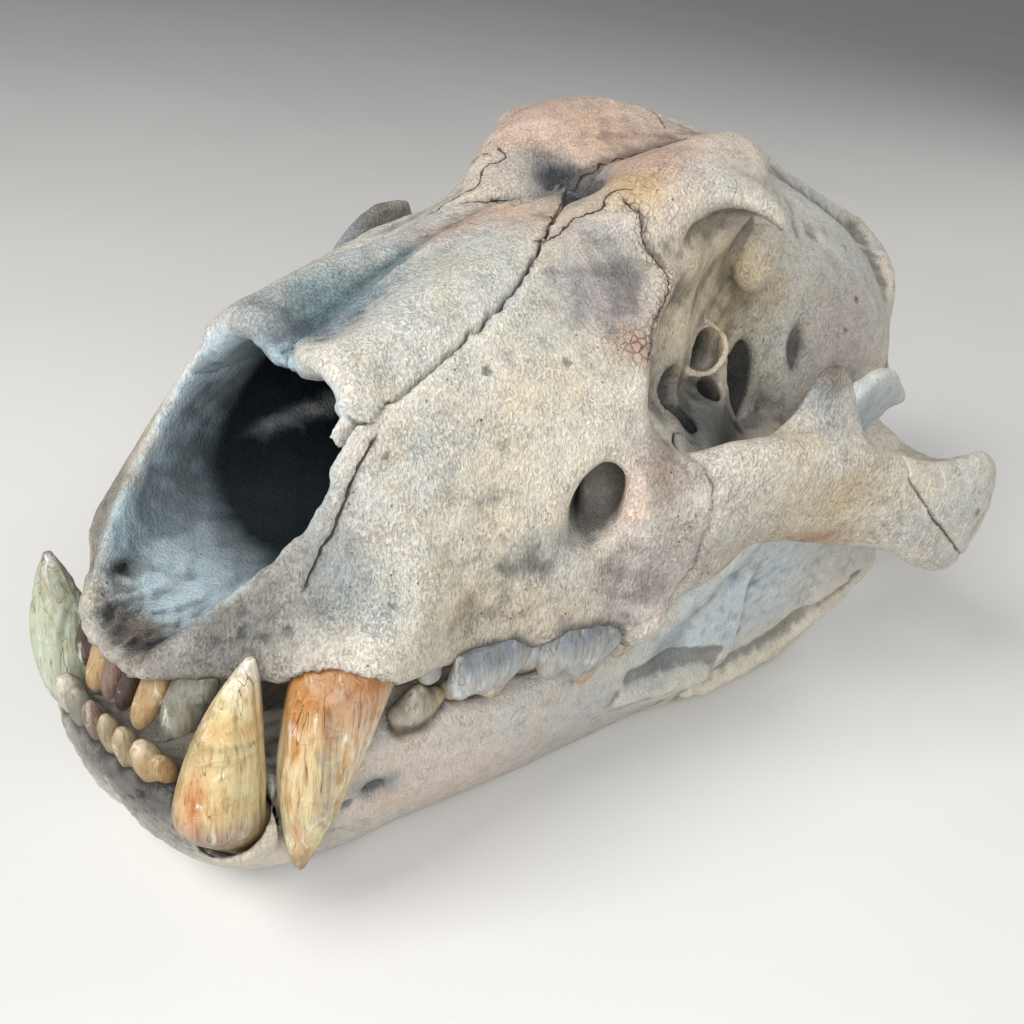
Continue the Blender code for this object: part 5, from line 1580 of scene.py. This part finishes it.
class Effects:
    """The shared groups: weathered bone with painted shade in hollows and a painted highlight on ridges, crack line
    and tooth streaks.
    """

    def __init__(self) -> None:
        """Builds each group once."""
        self.weathering = self.make_weathering()
        self.crack = self.make_crack()
        self.streaks = self.make_streaks()

    def make_weathering(self) -> bpy.types.NodeTree:
        """Mottled, speckled and striated old bone, with painted shade in hollows and a painted highlight on ridges:
        colour, grain height and roughness.
        """
        group, g, into, out = shared(
            "Weathering", {"Vector": None, "Tint": (0.5, 0.5, 0.5, 1), "Speckle": 0.5, "Fibre": 0.5, "Pitting": 0.5,
                           "Hollow": 0.0},
            {"Color": "Color", "Height": "Float", "Roughness": "Float"})
        vector = into.outputs["Vector"]
        speck = into.outputs["Speckle"]
        fibre = into.outputs["Fibre"]
        broad = g.noise(vector, 55.0, 5.0, 0.62, 0.4)
        medium = g.noise(vector, 210.0, 5.0, 0.65, 0.6)
        warm = g.mixed(g.ranged(broad, 0.45, 0.7), (1, 1, 1, 1), (1.0, 0.93, 0.82, 1))
        cool = g.mixed(g.ranged(medium, 0.48, 0.68), (1, 1, 1, 1), (0.8, 0.86, 0.9, 1))
        colour = g.mixed(0.8, into.outputs["Tint"], warm, "MULTIPLY")
        colour = g.mixed(0.8, colour, cool, "MULTIPLY")
        strand = g.noise(g.scaled(vector, (1.0, 1.0, 0.45)), 1250.0, 3.0, 0.65)
        strand_two = g.noise(g.scaled(vector, (1.0, 0.25, 0.8)), 1000.0, 3.0, 0.65)
        fine = g.noise(g.scaled(vector, (1.0, 0.8, 0.5)), 1500.0, 3.0, 0.7)
        coarse = g.noise(vector, 420.0, 5.0, 0.75)
        dark = g.ranged(fine, 0.48, 0.62)
        patch = g.ranged(g.noise(vector, 130.0, 4.0, 0.65), 0.4, 0.62)
        dark = g.times(dark, g.plus(0.25, g.times(patch, 0.75)))
        dark = g.times(dark, speck, clamp=True)
        colour = g.mixed(dark, colour, (0.7, 0.685, 0.675, 1), "MULTIPLY")
        line = g.times(g.ranged(strand, 0.48, 0.62), fibre, clamp=True)
        colour = g.mixed(line, colour, (0.8, 0.78, 0.765, 1), "MULTIPLY")
        light = g.times(g.ranged(strand_two, 0.5, 0.62), g.times(speck, 0.9))
        colour = g.mixed(light, colour, (1.16, 1.155, 1.13, 1), "MULTIPLY")
        stain = g.times(g.ranged(coarse, 0.56, 0.72), g.times(speck, 0.5))
        colour = g.mixed(stain, colour, (0.74, 0.7, 0.65, 1), "MULTIPLY")
        cell = g.node("TexVoronoi", {"Vector": vector, "Scale": 360.0, "Randomness": 1.0}).outputs["Distance"]
        pit = g.times(g.ranged(cell, 0.16, 0.05), g.ranged(g.noise(vector, 90.0, 3.0, 0.6), 0.5, 0.62))
        pit = g.times(pit, into.outputs["Pitting"], clamp=True)
        colour = g.mixed(pit, colour, (0.16, 0.15, 0.15, 1), "MULTIPLY")
        # Painted shade: hollows of the surface are darkened, and raised ridges get a painted highlight.
        hollow = g.ranged(into.outputs["Hollow"], 0.0, 1.0, 0.0, 0.75, False)
        colour = g.mixed(hollow, colour, (0.3, 0.3, 0.3, 1), "MULTIPLY")
        ridge = g.ranged(into.outputs["Hollow"], 0.0, -1.0, 0.0, 0.5, False)
        colour = g.mixed(ridge, colour, (1.22, 1.19, 1.15, 1), "MULTIPLY")
        height = g.times(g.minus(coarse, 0.5), 1.6)
        height = g.minus(height, g.times(g.plus(fine, strand), 0.6))
        height = g.plus(height, g.times(strand_two, 0.6))
        height = g.minus(height, g.times(dark, 0.5))
        height = g.minus(height, g.times(line, 0.6))
        height = g.minus(height, g.times(pit, 1.4))
        rough = g.plus(0.58, g.times(medium, 0.22), clamp=True)
        g.put(out.inputs["Color"], colour)
        g.put(out.inputs["Height"], height)
        g.put(out.inputs["Roughness"], rough)
        return group

    def make_crack(self) -> bpy.types.NodeTree:
        """Ragged dark line from a signed distance in millimetres."""
        group, g, into, out = shared(
            "CrackLine", {"Vector": None, "Distance": 9.0, "Mask": 0.0, "Width": 0.4, "Ragged": 1.0},
            {"Line": "Float", "Rim": "Float"})
        vector = into.outputs["Vector"]
        bend = g.minus(g.noise(vector, 190.0, 3.0, 0.6), 0.5)
        small = g.minus(g.noise(vector, 700.0, 2.0, 0.6), 0.5)
        shift = g.plus(g.times(bend, 3.6), g.times(small, 1.2))
        shift = g.times(shift, into.outputs["Ragged"])
        far = g.math("ABSOLUTE", g.plus(into.outputs["Distance"], shift))
        wide = g.times(into.outputs["Width"], g.ranged(g.noise(vector, 320.0, 2.0), 0.3, 0.7, 0.5, 1.6, False))
        line = g.minus(1.0, g.math("DIVIDE", far, wide), clamp=True)
        line = g.times(g.ranged(line, 0.0, 0.6), into.outputs["Mask"], clamp=True)
        rim = g.minus(1.0, g.math("DIVIDE", far, g.times(wide, 6.0)), clamp=True)
        rim = g.times(rim, into.outputs["Mask"], clamp=True)
        g.put(out.inputs["Line"], line)
        g.put(out.inputs["Rim"], rim)
        return group

    def make_streaks(self) -> bpy.types.NodeTree:
        """Lengthways streaks, growth bands and hair cracks of enamel."""
        group, g, into, out = shared(
            "EnamelStreaks", {"Vector": None, "Tint": (0.5, 0.5, 0.5, 1), "Streak": 0.5, "Crack": 0.5},
            {"Color": "Color", "Height": "Float", "Roughness": "Float"})
        vector = into.outputs["Vector"]
        length = g.noise(g.scaled(vector, (1.0, 1.0, 0.1)), 420.0, 5.0, 0.68, 0.4)
        blotch = g.noise(g.scaled(vector, (1.0, 1.0, 0.5)), 150.0, 5.0, 0.65, 1.2)
        band = g.noise(g.scaled(vector, (0.3, 0.3, 1.0)), 260.0, 3.0, 0.6, 0.4)
        streak = g.times(g.ranged(length, 0.46, 0.64), into.outputs["Streak"], clamp=True)
        colour = g.mixed(streak, into.outputs["Tint"], (0.8, 0.5, 0.2, 1), "MULTIPLY")
        colour = g.mixed(g.times(g.ranged(blotch, 0.54, 0.72), 0.6), colour, (0.8, 0.55, 0.28, 1), "MULTIPLY")
        colour = g.mixed(g.times(g.ranged(blotch, 0.44, 0.3), 0.45), colour, (1.0, 0.98, 0.86, 1))
        colour = g.mixed(g.times(g.ranged(band, 0.55, 0.66), 0.25), colour, (0.7, 0.62, 0.45, 1), "MULTIPLY")
        vein = g.noise(g.scaled(vector, (1.0, 1.0, 0.03)), 260.0, 1.5, 0.45, 0.15)
        crack = g.ranged(g.math("ABSOLUTE", g.minus(vein, 0.5)), 0.009, 0.0)
        crack = g.times(crack, g.ranged(g.noise(vector, 110.0, 2.0), 0.42, 0.55))
        cross = g.noise(g.scaled(vector, (0.25, 0.25, 1.0)), 70.0, 2.0, 0.5, 0.2)
        cross = g.ranged(g.math("ABSOLUTE", g.minus(cross, 0.5)), 0.006, 0.0)
        crack = g.times(g.math("MAXIMUM", crack, g.times(cross, 0.25)), into.outputs["Crack"],
                       clamp=True)
        colour = g.mixed(crack, colour, (0.16, 0.12, 0.08, 1), "MULTIPLY")
        dirt = g.noise(g.scaled(vector, (1.0, 1.0, 0.12)), 900.0, 3.0, 0.7)
        dirt = g.times(g.ranged(dirt, 0.48, 0.66), 0.55)
        colour = g.mixed(dirt, colour, (0.45, 0.38, 0.3, 1), "MULTIPLY")
        height = g.minus(g.times(length, 0.5), g.times(crack, 0.35))
        rough = g.plus(0.34, g.times(g.ranged(blotch, 0.35, 0.7), 0.22), clamp=True)
        g.put(out.inputs["Color"], colour)
        g.put(out.inputs["Height"], height)
        g.put(out.inputs["Roughness"], rough)
        return group


class Paint:
    """Makes the node materials and puts them on the pieces."""

    def __init__(self) -> None:
        """Builds the shared effects."""
        self.effects = Effects()

    def start(self, name: str) -> tuple[bpy.types.Material, Graph, Any, Any]:
        """A new node material with its graph, shader and Object coordinates."""
        made = bpy.data.materials.new(name)
        made.use_nodes = True
        graph = Graph(made.node_tree)
        return made, graph, made.node_tree.nodes["Principled BSDF"], graph.node("TexCoord").outputs["Object"]

    def group(self, g: Graph, tree: bpy.types.NodeTree, inputs: dict[str, Any]) -> Any:
        """Places a shared group with its own values."""
        made = g.node("Group", node_tree=tree)
        for key, value in inputs.items():
            g.put(made.inputs[key], value)
        return made.outputs

    def bone(self, name: str, finish: BoneFinish) -> bpy.types.Material:
        """Old bone with its tone patches, cracks and sutures, painted shade in hollows, the nasal cavity, the eye
        pockets and round the sockets, and a painted highlight on ridges.

        Args:
            name: Name of the new object.
            finish: Its finish.

        Returns:
            The material.
        """
        made, g, shader, vector = self.start(name)
        crackle, dark, hollow = g.parts("marks")
        tint = g.node("Attribute", attribute_name="tint").outputs
        speckle, fibre, pitting = (g.times(tint["Alpha"], amount)
                                   for amount in (finish.speckle, finish.fibre, finish.pitting))
        skin = self.group(g, self.effects.weathering, {
            "Vector": vector, "Tint": tint["Color"], "Speckle": speckle, "Fibre": fibre,
            "Pitting": pitting, "Hollow": hollow})
        colour, height = skin["Color"], skin["Height"]
        for key, width in (("seam_a", 0.4), ("seam_b", 0.34), ("seam_c", 0.26)):
            distance, mask, ragged = g.parts(key)
            line = self.group(g, self.effects.crack, {
                "Vector": vector, "Distance": distance, "Mask": mask, "Width": width, "Ragged": ragged})
            colour = g.mixed(g.times(line["Rim"], 0.35), colour, (0.5, 0.42, 0.36, 1), "MULTIPLY")
            colour = g.mixed(g.times(line["Line"], 0.92), colour, (0.025, 0.022, 0.02, 1))
            height = g.minus(height, g.times(line["Line"], 1.6))
        cell = g.node("TexVoronoi", {"Vector": g.scaled(vector, (1, 1, 0.7)), "Scale": 430.0},
                      feature="DISTANCE_TO_EDGE").outputs["Distance"]
        net = g.times(g.ranged(cell, 0.12, 0.0), g.times(crackle, 0.7), clamp=True)
        colour = g.mixed(net, colour, (0.09, 0.07, 0.06, 1))
        colour = g.mixed(g.times(crackle, 0.3), colour, (0.85, 0.68, 0.55, 1), "MULTIPLY")
        height = g.minus(height, g.times(net, 1.5))
        # Painted shade: near black deep in the nasal cavity and the eye pockets and holes, partly on the socket rims,
        # with the dark suture joints.
        colour = g.mixed(dark, colour, (0.012, 0.016, 0.019, 1))
        g.put(shader.inputs["Base Color"], colour)
        g.put(shader.inputs["Roughness"], skin["Roughness"])
        bump = g.node("Bump", {"Strength": 1.0, "Distance": finish.bump * MM, "Height": height})
        g.put(shader.inputs["Normal"], bump.outputs[0])
        shine = g.times(g.minus(1.0, dark, clamp=True), 0.35)
        g.put(shader.inputs["Specular IOR Level"], shine)
        return made

    def enamel(self, name: str, finish: ToothFinish, shine: float) -> bpy.types.Material:
        """Streaked, finely cracked enamel.

        Args:
            name: Name of the new object.
            finish: Its finish.
            shine: Weight of the clear coat.

        Returns:
            The material.
        """
        made, g, shader, vector = self.start(name)
        tint = g.node("Attribute", attribute_name="tint").outputs["Color"]
        skin = self.group(g, self.effects.streaks, {
            "Vector": vector, "Tint": tint, "Streak": finish.streak, "Crack": finish.crack})
        g.put(shader.inputs["Base Color"], skin["Color"])
        g.put(shader.inputs["Roughness"], skin["Roughness"])
        bump = g.node("Bump", {"Strength": 0.8, "Distance": 0.4 * MM, "Height": skin["Height"]})
        g.put(shader.inputs["Normal"], bump.outputs[0])
        shader.inputs["Coat Weight"].default_value = shine
        shader.inputs["Coat Roughness"].default_value = 0.25
        return made

    def plain(self, name: str, colour: Row, rough: float) -> bpy.types.Material:
        """The floor's faintly mottled matt paint."""
        made, g, shader, vector = self.start(name)
        cloud = g.noise(vector, 3.0, 3.0)
        shade = g.mixed(g.ranged(cloud, 0.3, 0.7), (*colour, 1), (*[c * 0.96 for c in colour], 1))
        g.put(shader.inputs["Base Color"], shade)
        shader.inputs["Roughness"].default_value = rough
        return made


def nearness(skin: Skin, others: Sequence[Object], reach: float) -> Array:
    """Distance in millimetres from each vertex to the nearest neighbour.

    Args:
        skin: The surface.
        others: The neighbouring pieces.
        reach: Distances are held at this length.

    Returns:
        One distance per vertex.
    """
    far = np.full(skin.count, reach)
    for other in others:
        co = positions(other) / MM
        low, high = co.min(axis=0) - reach, co.max(axis=0) + reach
        near = within(skin.points, low, high)
        if len(near) == 0:
            continue
        box = skin.points[near]
        co = co[((co > box.min(axis=0) - reach) & (co < box.max(axis=0) + reach)).all(axis=1)]
        tree = KDTree(len(co))
        for k, c in enumerate(co):
            tree.insert(c, k)
        tree.balance()
        for k in near:
            found = tree.find(skin.points[k])[2]
            if found is not None and found < far[k]:
                far[k] = found
    return far


def mark(skin: Skin, name: str, finish: BoneFinish, bones: Sequence[Object], teeth: Sequence[Object]) -> None:
    """Writes a bone's colour, marks and suture distances on its mesh, with painted shade in the nasal cavity, the eye
    pockets and round the sockets.

    Args:
        skin: The finished surface.
        name: Node that the bone stands for.
        finish: The bone's finish.
        bones: Neighbouring bones with a suture between.
        teeth: Teeth beside the bone.
    """
    skin.read_normals()
    gap = nearness(skin, bones, SEAM_REACH)
    socket = nearness(skin, teeth, SOCKET_REACH)
    skin.points = skin.points - skin.normals * (SEAM_SINK * np.exp(-(gap / 0.8) ** 2))[:, None]
    skin.commit()
    points = skin.points
    tint = finish.tint(points)
    x, y, z = points.T
    bend = skin.hollows()
    if "mandible" in name:
        crackle = np.clip((8 - y) / 12, 0, 0.5) * np.clip(wobble(points, 6, 3.0) * 2, 0, 1)
        dark = np.zeros(skin.count)
        tint[:, 3] = 0.5
    else:
        distance, mask = skin.across(BROW_CRACK, 7.0)
        crackle = 0.8 * mask * np.exp(-(distance / 3.2) ** 2)
        patch = np.exp(-((((points - (54, 128, 150)) / (6, 6, 8)) ** 2).sum(axis=1)))
        crackle = np.clip(crackle + 0.9 * patch, 0, 1)
        inner = (x * skin.normals[:, 0] < 0.15 * np.abs(x)) & (np.abs(x) < 40) & (y < 178) & (z > 83)
        roof = np.interp(y, [s[0] for s in NOSE], [s[1] for s in NOSE])
        inner = inner & (z < roof + 6.5) & ((skin.normals[:, 2] < 0.5) | (z < 105))
        # Painted shade in the nasal cavity: the wall is washed blue-grey with its grain calmed, and its deep part is
        # painted near black.
        wall = skin.spread(skin.spread(inner[:, None].astype(float)))[:, 0] * np.clip((y - 2) / 14, 0, 1)
        deep = np.clip((y - 40 + 0.7 * (112 - z)) / 22, 0, 1)
        cavity_shade = (0.85 * wall)[:, None]
        tint[:, :3] = tint[:, :3] * (1 - cavity_shade) + linear(Tone.HAZE.value) * cavity_shade
        tint[:, 3] = 1 - 0.65 * wall
        dark = 0.99 * wall * deep
        # Painted shade in the eye pockets and holes, the root pit, the cheek canal and under the brow hook.
        for centre, reach, amount in POCKET_SHADE:
            for side in Side:
                far = (((points - np.array(centre) * (side.value, 1, 1)) / reach) ** 2).sum(axis=1)
                dark = np.maximum(dark, amount * np.exp(-far**1.6))
    ragged = 1 + 0.5 * wobble(points, 2.0, 4.0)
    # Dark suture joints between bones, and a dark ring round each tooth that is partly painted shade where the tooth
    # meets the bone.
    dark = np.maximum(dark, 0.85 * np.exp(-(gap / (0.55 * ragged)) ** 2))
    dark = np.maximum(dark, 0.8 * np.exp(-(socket / (1.6 * ragged)) ** 2))
    skin.write("tint", tint)
    # Marks: crackle, darkness that is painted shade together with dark joints, and how hollow or raised the surface
    # is, which drives painted shade in hollows and a painted highlight on ridges.
    skin.write("marks", np.stack([crackle, dark, np.clip(bend / 0.05, -1, 1)], axis=1))
    families = {"seam_a": ((MIDLINE[7:], 0.5), (NASO_MAXILLARY[9:], 0.35)),
                "seam_b": ((FRONTO_MAXILLARY, 1.0), (CORONAL, 0.9)),
                "seam_c": ((BROW_CRACK, 0.9),)}
    for key, lines in families.items():
        best, mask, ragged = np.full(skin.count, 6.0), np.zeros(skin.count), np.zeros(skin.count)
        for path, amount in lines if "mandible" not in name else ():
            for side in Side:
                if side is Side.RIGHT and path in (MIDLINE[7:], NASO_MAXILLARY[9:]):
                    continue
                distance, here = skin.across(np.array(path, float) * (side.value, 1, 1), 6.0)
                nearer = np.abs(distance) < np.abs(best)
                best[nearer], mask[nearer], ragged[nearer] = distance[nearer], here[nearer], amount
        skin.write(key, np.stack([best, mask, ragged], axis=1))


def finished(obj: Object, name: str, material: bpy.types.Material) -> Object:
    """Names a piece, moves it to its place, smooths its shading and gives it its finish.

    Args:
        obj: The object.
        name: Name of the new object.
        material: Its material.

    Returns:
        The same object.
    """
    obj.name = name
    obj.data.name = name
    pick(obj)
    place_at(obj, positions(obj) - (0, ORIGIN_Y * MM, 0))
    bpy.ops.object.shade_smooth()
    obj.data.materials.clear()
    obj.data.materials.append(material)
    LOG.info("%s: %d faces", name, len(obj.data.polygons))
    return obj


# ---- studio
@dataclass(frozen=True)
class Studio:
    """Floor, soft lights and camera.

    Attributes:
        eye: Camera position in world metres.
        azimuth: Camera azimuth in degrees.
        elevation: Camera elevation in degrees.
        roll: Camera roll in degrees.
        lens: Focal length in millimetres on a 36 mm sensor.
    """

    eye: Row = (0.21336, -0.31683, 0.26397)
    azimuth: float = 36.951
    elevation: float = 29.455
    roll: float = 8.092
    lens: float = 41.403

    def build(self, paint: Paint) -> None:
        """Makes the whole studio.

        Args:
            paint: Maker of the materials.
        """
        bpy.ops.object.select_all(action="DESELECT")
        bpy.ops.mesh.primitive_plane_add(size=9.0, location=(0, 0, -0.0001))
        floor = bpy.context.object
        floor.name = "studio_floor"
        bpy.ops.object.transform_apply(location=True)
        floor.data.materials.append(paint.plain("studio_floor_paint", (0.78, 0.77, 0.75), 0.9))
        self.light("key_softbox", (-0.2, -0.95, 1.0), 0.6, 12.2, (1.0, 0.99, 0.97))
        self.light("front_fill", (0.6, -0.8, 0.62), 0.6, 8.6, (0.97, 0.985, 1.0))
        self.light("rear_soft", (0.35, 1.05, 0.95), 0.9, 5.5, (1.0, 0.985, 0.96))
        world = bpy.data.worlds.new("studio_air")
        world.use_nodes = True
        world.node_tree.nodes["Background"].inputs[0].default_value = (0.86, 0.88, 0.9, 1)
        world.node_tree.nodes["Background"].inputs[1].default_value = 0.22
        bpy.context.scene.world = world
        bpy.context.scene.view_settings.view_transform = "Standard"
        self.camera()

    def light(self, name: str, place: Row, size: float, power: float, colour: Row) -> None:
        """One square soft light turned to the skull.

        Args:
            name: Name of the new object.
            place: Position in metres.
            size: Edge length in metres.
            power: Power in watts.
            colour: Its colour.
        """
        bpy.ops.object.light_add(type="AREA", location=place)
        lamp = bpy.context.object
        lamp.name = name
        lamp.data.size = size
        lamp.data.energy = power
        lamp.data.color = colour
        back = np.array(place) - (0, -0.02, 0.09)
        back /= np.linalg.norm(back)
        right = np.cross((0, 0, 1), back)
        right /= np.linalg.norm(right)
        aim = Matrix(np.stack([right, np.cross(back, right), back], axis=1).tolist())
        lamp.rotation_euler = aim.to_euler()

    def camera(self) -> None:
        """The camera, rolled about its line of sight."""
        a, e, r = np.radians((self.azimuth, self.elevation, self.roll))
        back = np.array([np.sin(a) * np.cos(e), -np.cos(a) * np.cos(e), np.sin(e)])
        right = np.array([np.cos(a), np.sin(a), 0.0])
        up = np.cross(back, right)
        side = right * np.cos(r) + up * np.sin(r)
        high = up * np.cos(r) - right * np.sin(r)
        bpy.ops.object.camera_add(location=self.eye)
        camera = bpy.context.object
        camera.name = "studio_camera"
        camera.rotation_euler = Matrix(np.stack([side, high, back], axis=1).tolist()).to_euler()
        camera.data.lens = self.lens
        camera.data.sensor_width = 36.0
        camera.data.clip_start = 0.01
        bpy.context.scene.camera = camera


# ---- putting it together
CANINE_FINISHES = {
    "upper_canine_left": ToothFinish((168, 116, 62), (206, 196, 150), (186, 150, 96), UPPER_CANINE_STAINS_AND_SHADE, 0.85, 0.8),
    "upper_canine_right": ToothFinish((150, 92, 44), (196, 170, 116), (196, 160, 110), (), 0.6, 0.7),
    "lower_canine_left": ToothFinish((140, 106, 78), (206, 190, 142), (216, 210, 186), LOWER_CANINE_STAINS_AND_SHADE, 0.45, 0.9),
    "lower_canine_right": ToothFinish((96, 82, 62), (172, 180, 158), (162, 152, 146), (), 0.35, 0.7),
}
BONE_FINISHES = {
    "cranium": BoneFinish(CRANIUM_STAINS_SHADE_AND_LIGHT, 0.85, 0.55, 0.75, 0.52),
    "nasal": BoneFinish(CRANIUM_STAINS_SHADE_AND_LIGHT, 0.7, 0.7, 0.5, 0.5),
    "zygomatic": BoneFinish(CRANIUM_STAINS_SHADE_AND_LIGHT, 0.8, 0.7, 0.5, 0.55),
    "mandible": BoneFinish(JAW_STAINS, 0.9, 0.5, 0.8, 0.6),
}


def carried(piece: Object, *nodes: str, slot: str | None = None) -> None:
    """Rides a piece on the skull in the place of its nodes."""
    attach(piece, "root")
    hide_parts(*nodes)


def main() -> None:
    """Builds the studio, bones and teeth in order."""
    logging.basicConfig(level=logging.INFO)
    paint = Paint()
    Studio().build(paint)
    bones = Cranium().build()
    for side, inward, rearward in ((Side.LEFT, 2.0, -0.8), (Side.RIGHT, 3.5, 2.5)):
        bones["mandible_" + side.word] = Jaw(side, inward, rearward).build()
    teeth: list[tuple[Object, str, str, ToothFinish]] = []
    for name, finish in CANINE_FINISHES.items():
        side = Side.LEFT if name.endswith("left") else Side.RIGHT
        size = (UPPER_CANINES if name.startswith("upper") else LOWER_CANINES)[side]
        teeth.append((Canine(name, size, side, finish).build(), name + "_enamel", name, finish))
    for row, node in ((UPPER_ROW, "cranium"), (LOWER_ROW, "mandible_")):
        for tooth, other in row:
            for side in Side:
                chosen = tooth if side is Side.LEFT else replace(tooth, finish=other)
                owner = node if node == "cranium" else node + side.word
                teeth.append((chosen.build(side), tooth.name + "_" + side.word, owner, chosen.finish))
    for name, bone in bones.items():
        finish = BONE_FINISHES[name.rsplit("_", 1)[0]]
        jaw = "mandible" in name
        near = [other for key, other in bones.items() if key != name and ("mandible" in key) == jaw]
        beside = () if name.startswith("nasal") else teeth
        row = [tooth for tooth, label, _, _ in beside if label.startswith("lower") == jaw]
        mark(Skin(bone), name, finish, near, row)
    for name, bone in bones.items():
        finish = BONE_FINISHES[name.rsplit("_", 1)[0]]
        carried(finished(bone, name + "_bone", paint.bone(name + "_bone", finish)), name)
    for tooth, label, owner, finish in teeth:
        shine = CANINE_SHINE if "canine" in label else SMALL_TOOTH_SHINE
        carried(finished(tooth, label, paint.enamel(label + "_paint", finish, shine)), owner)


if __name__ == "__main__":
    main()
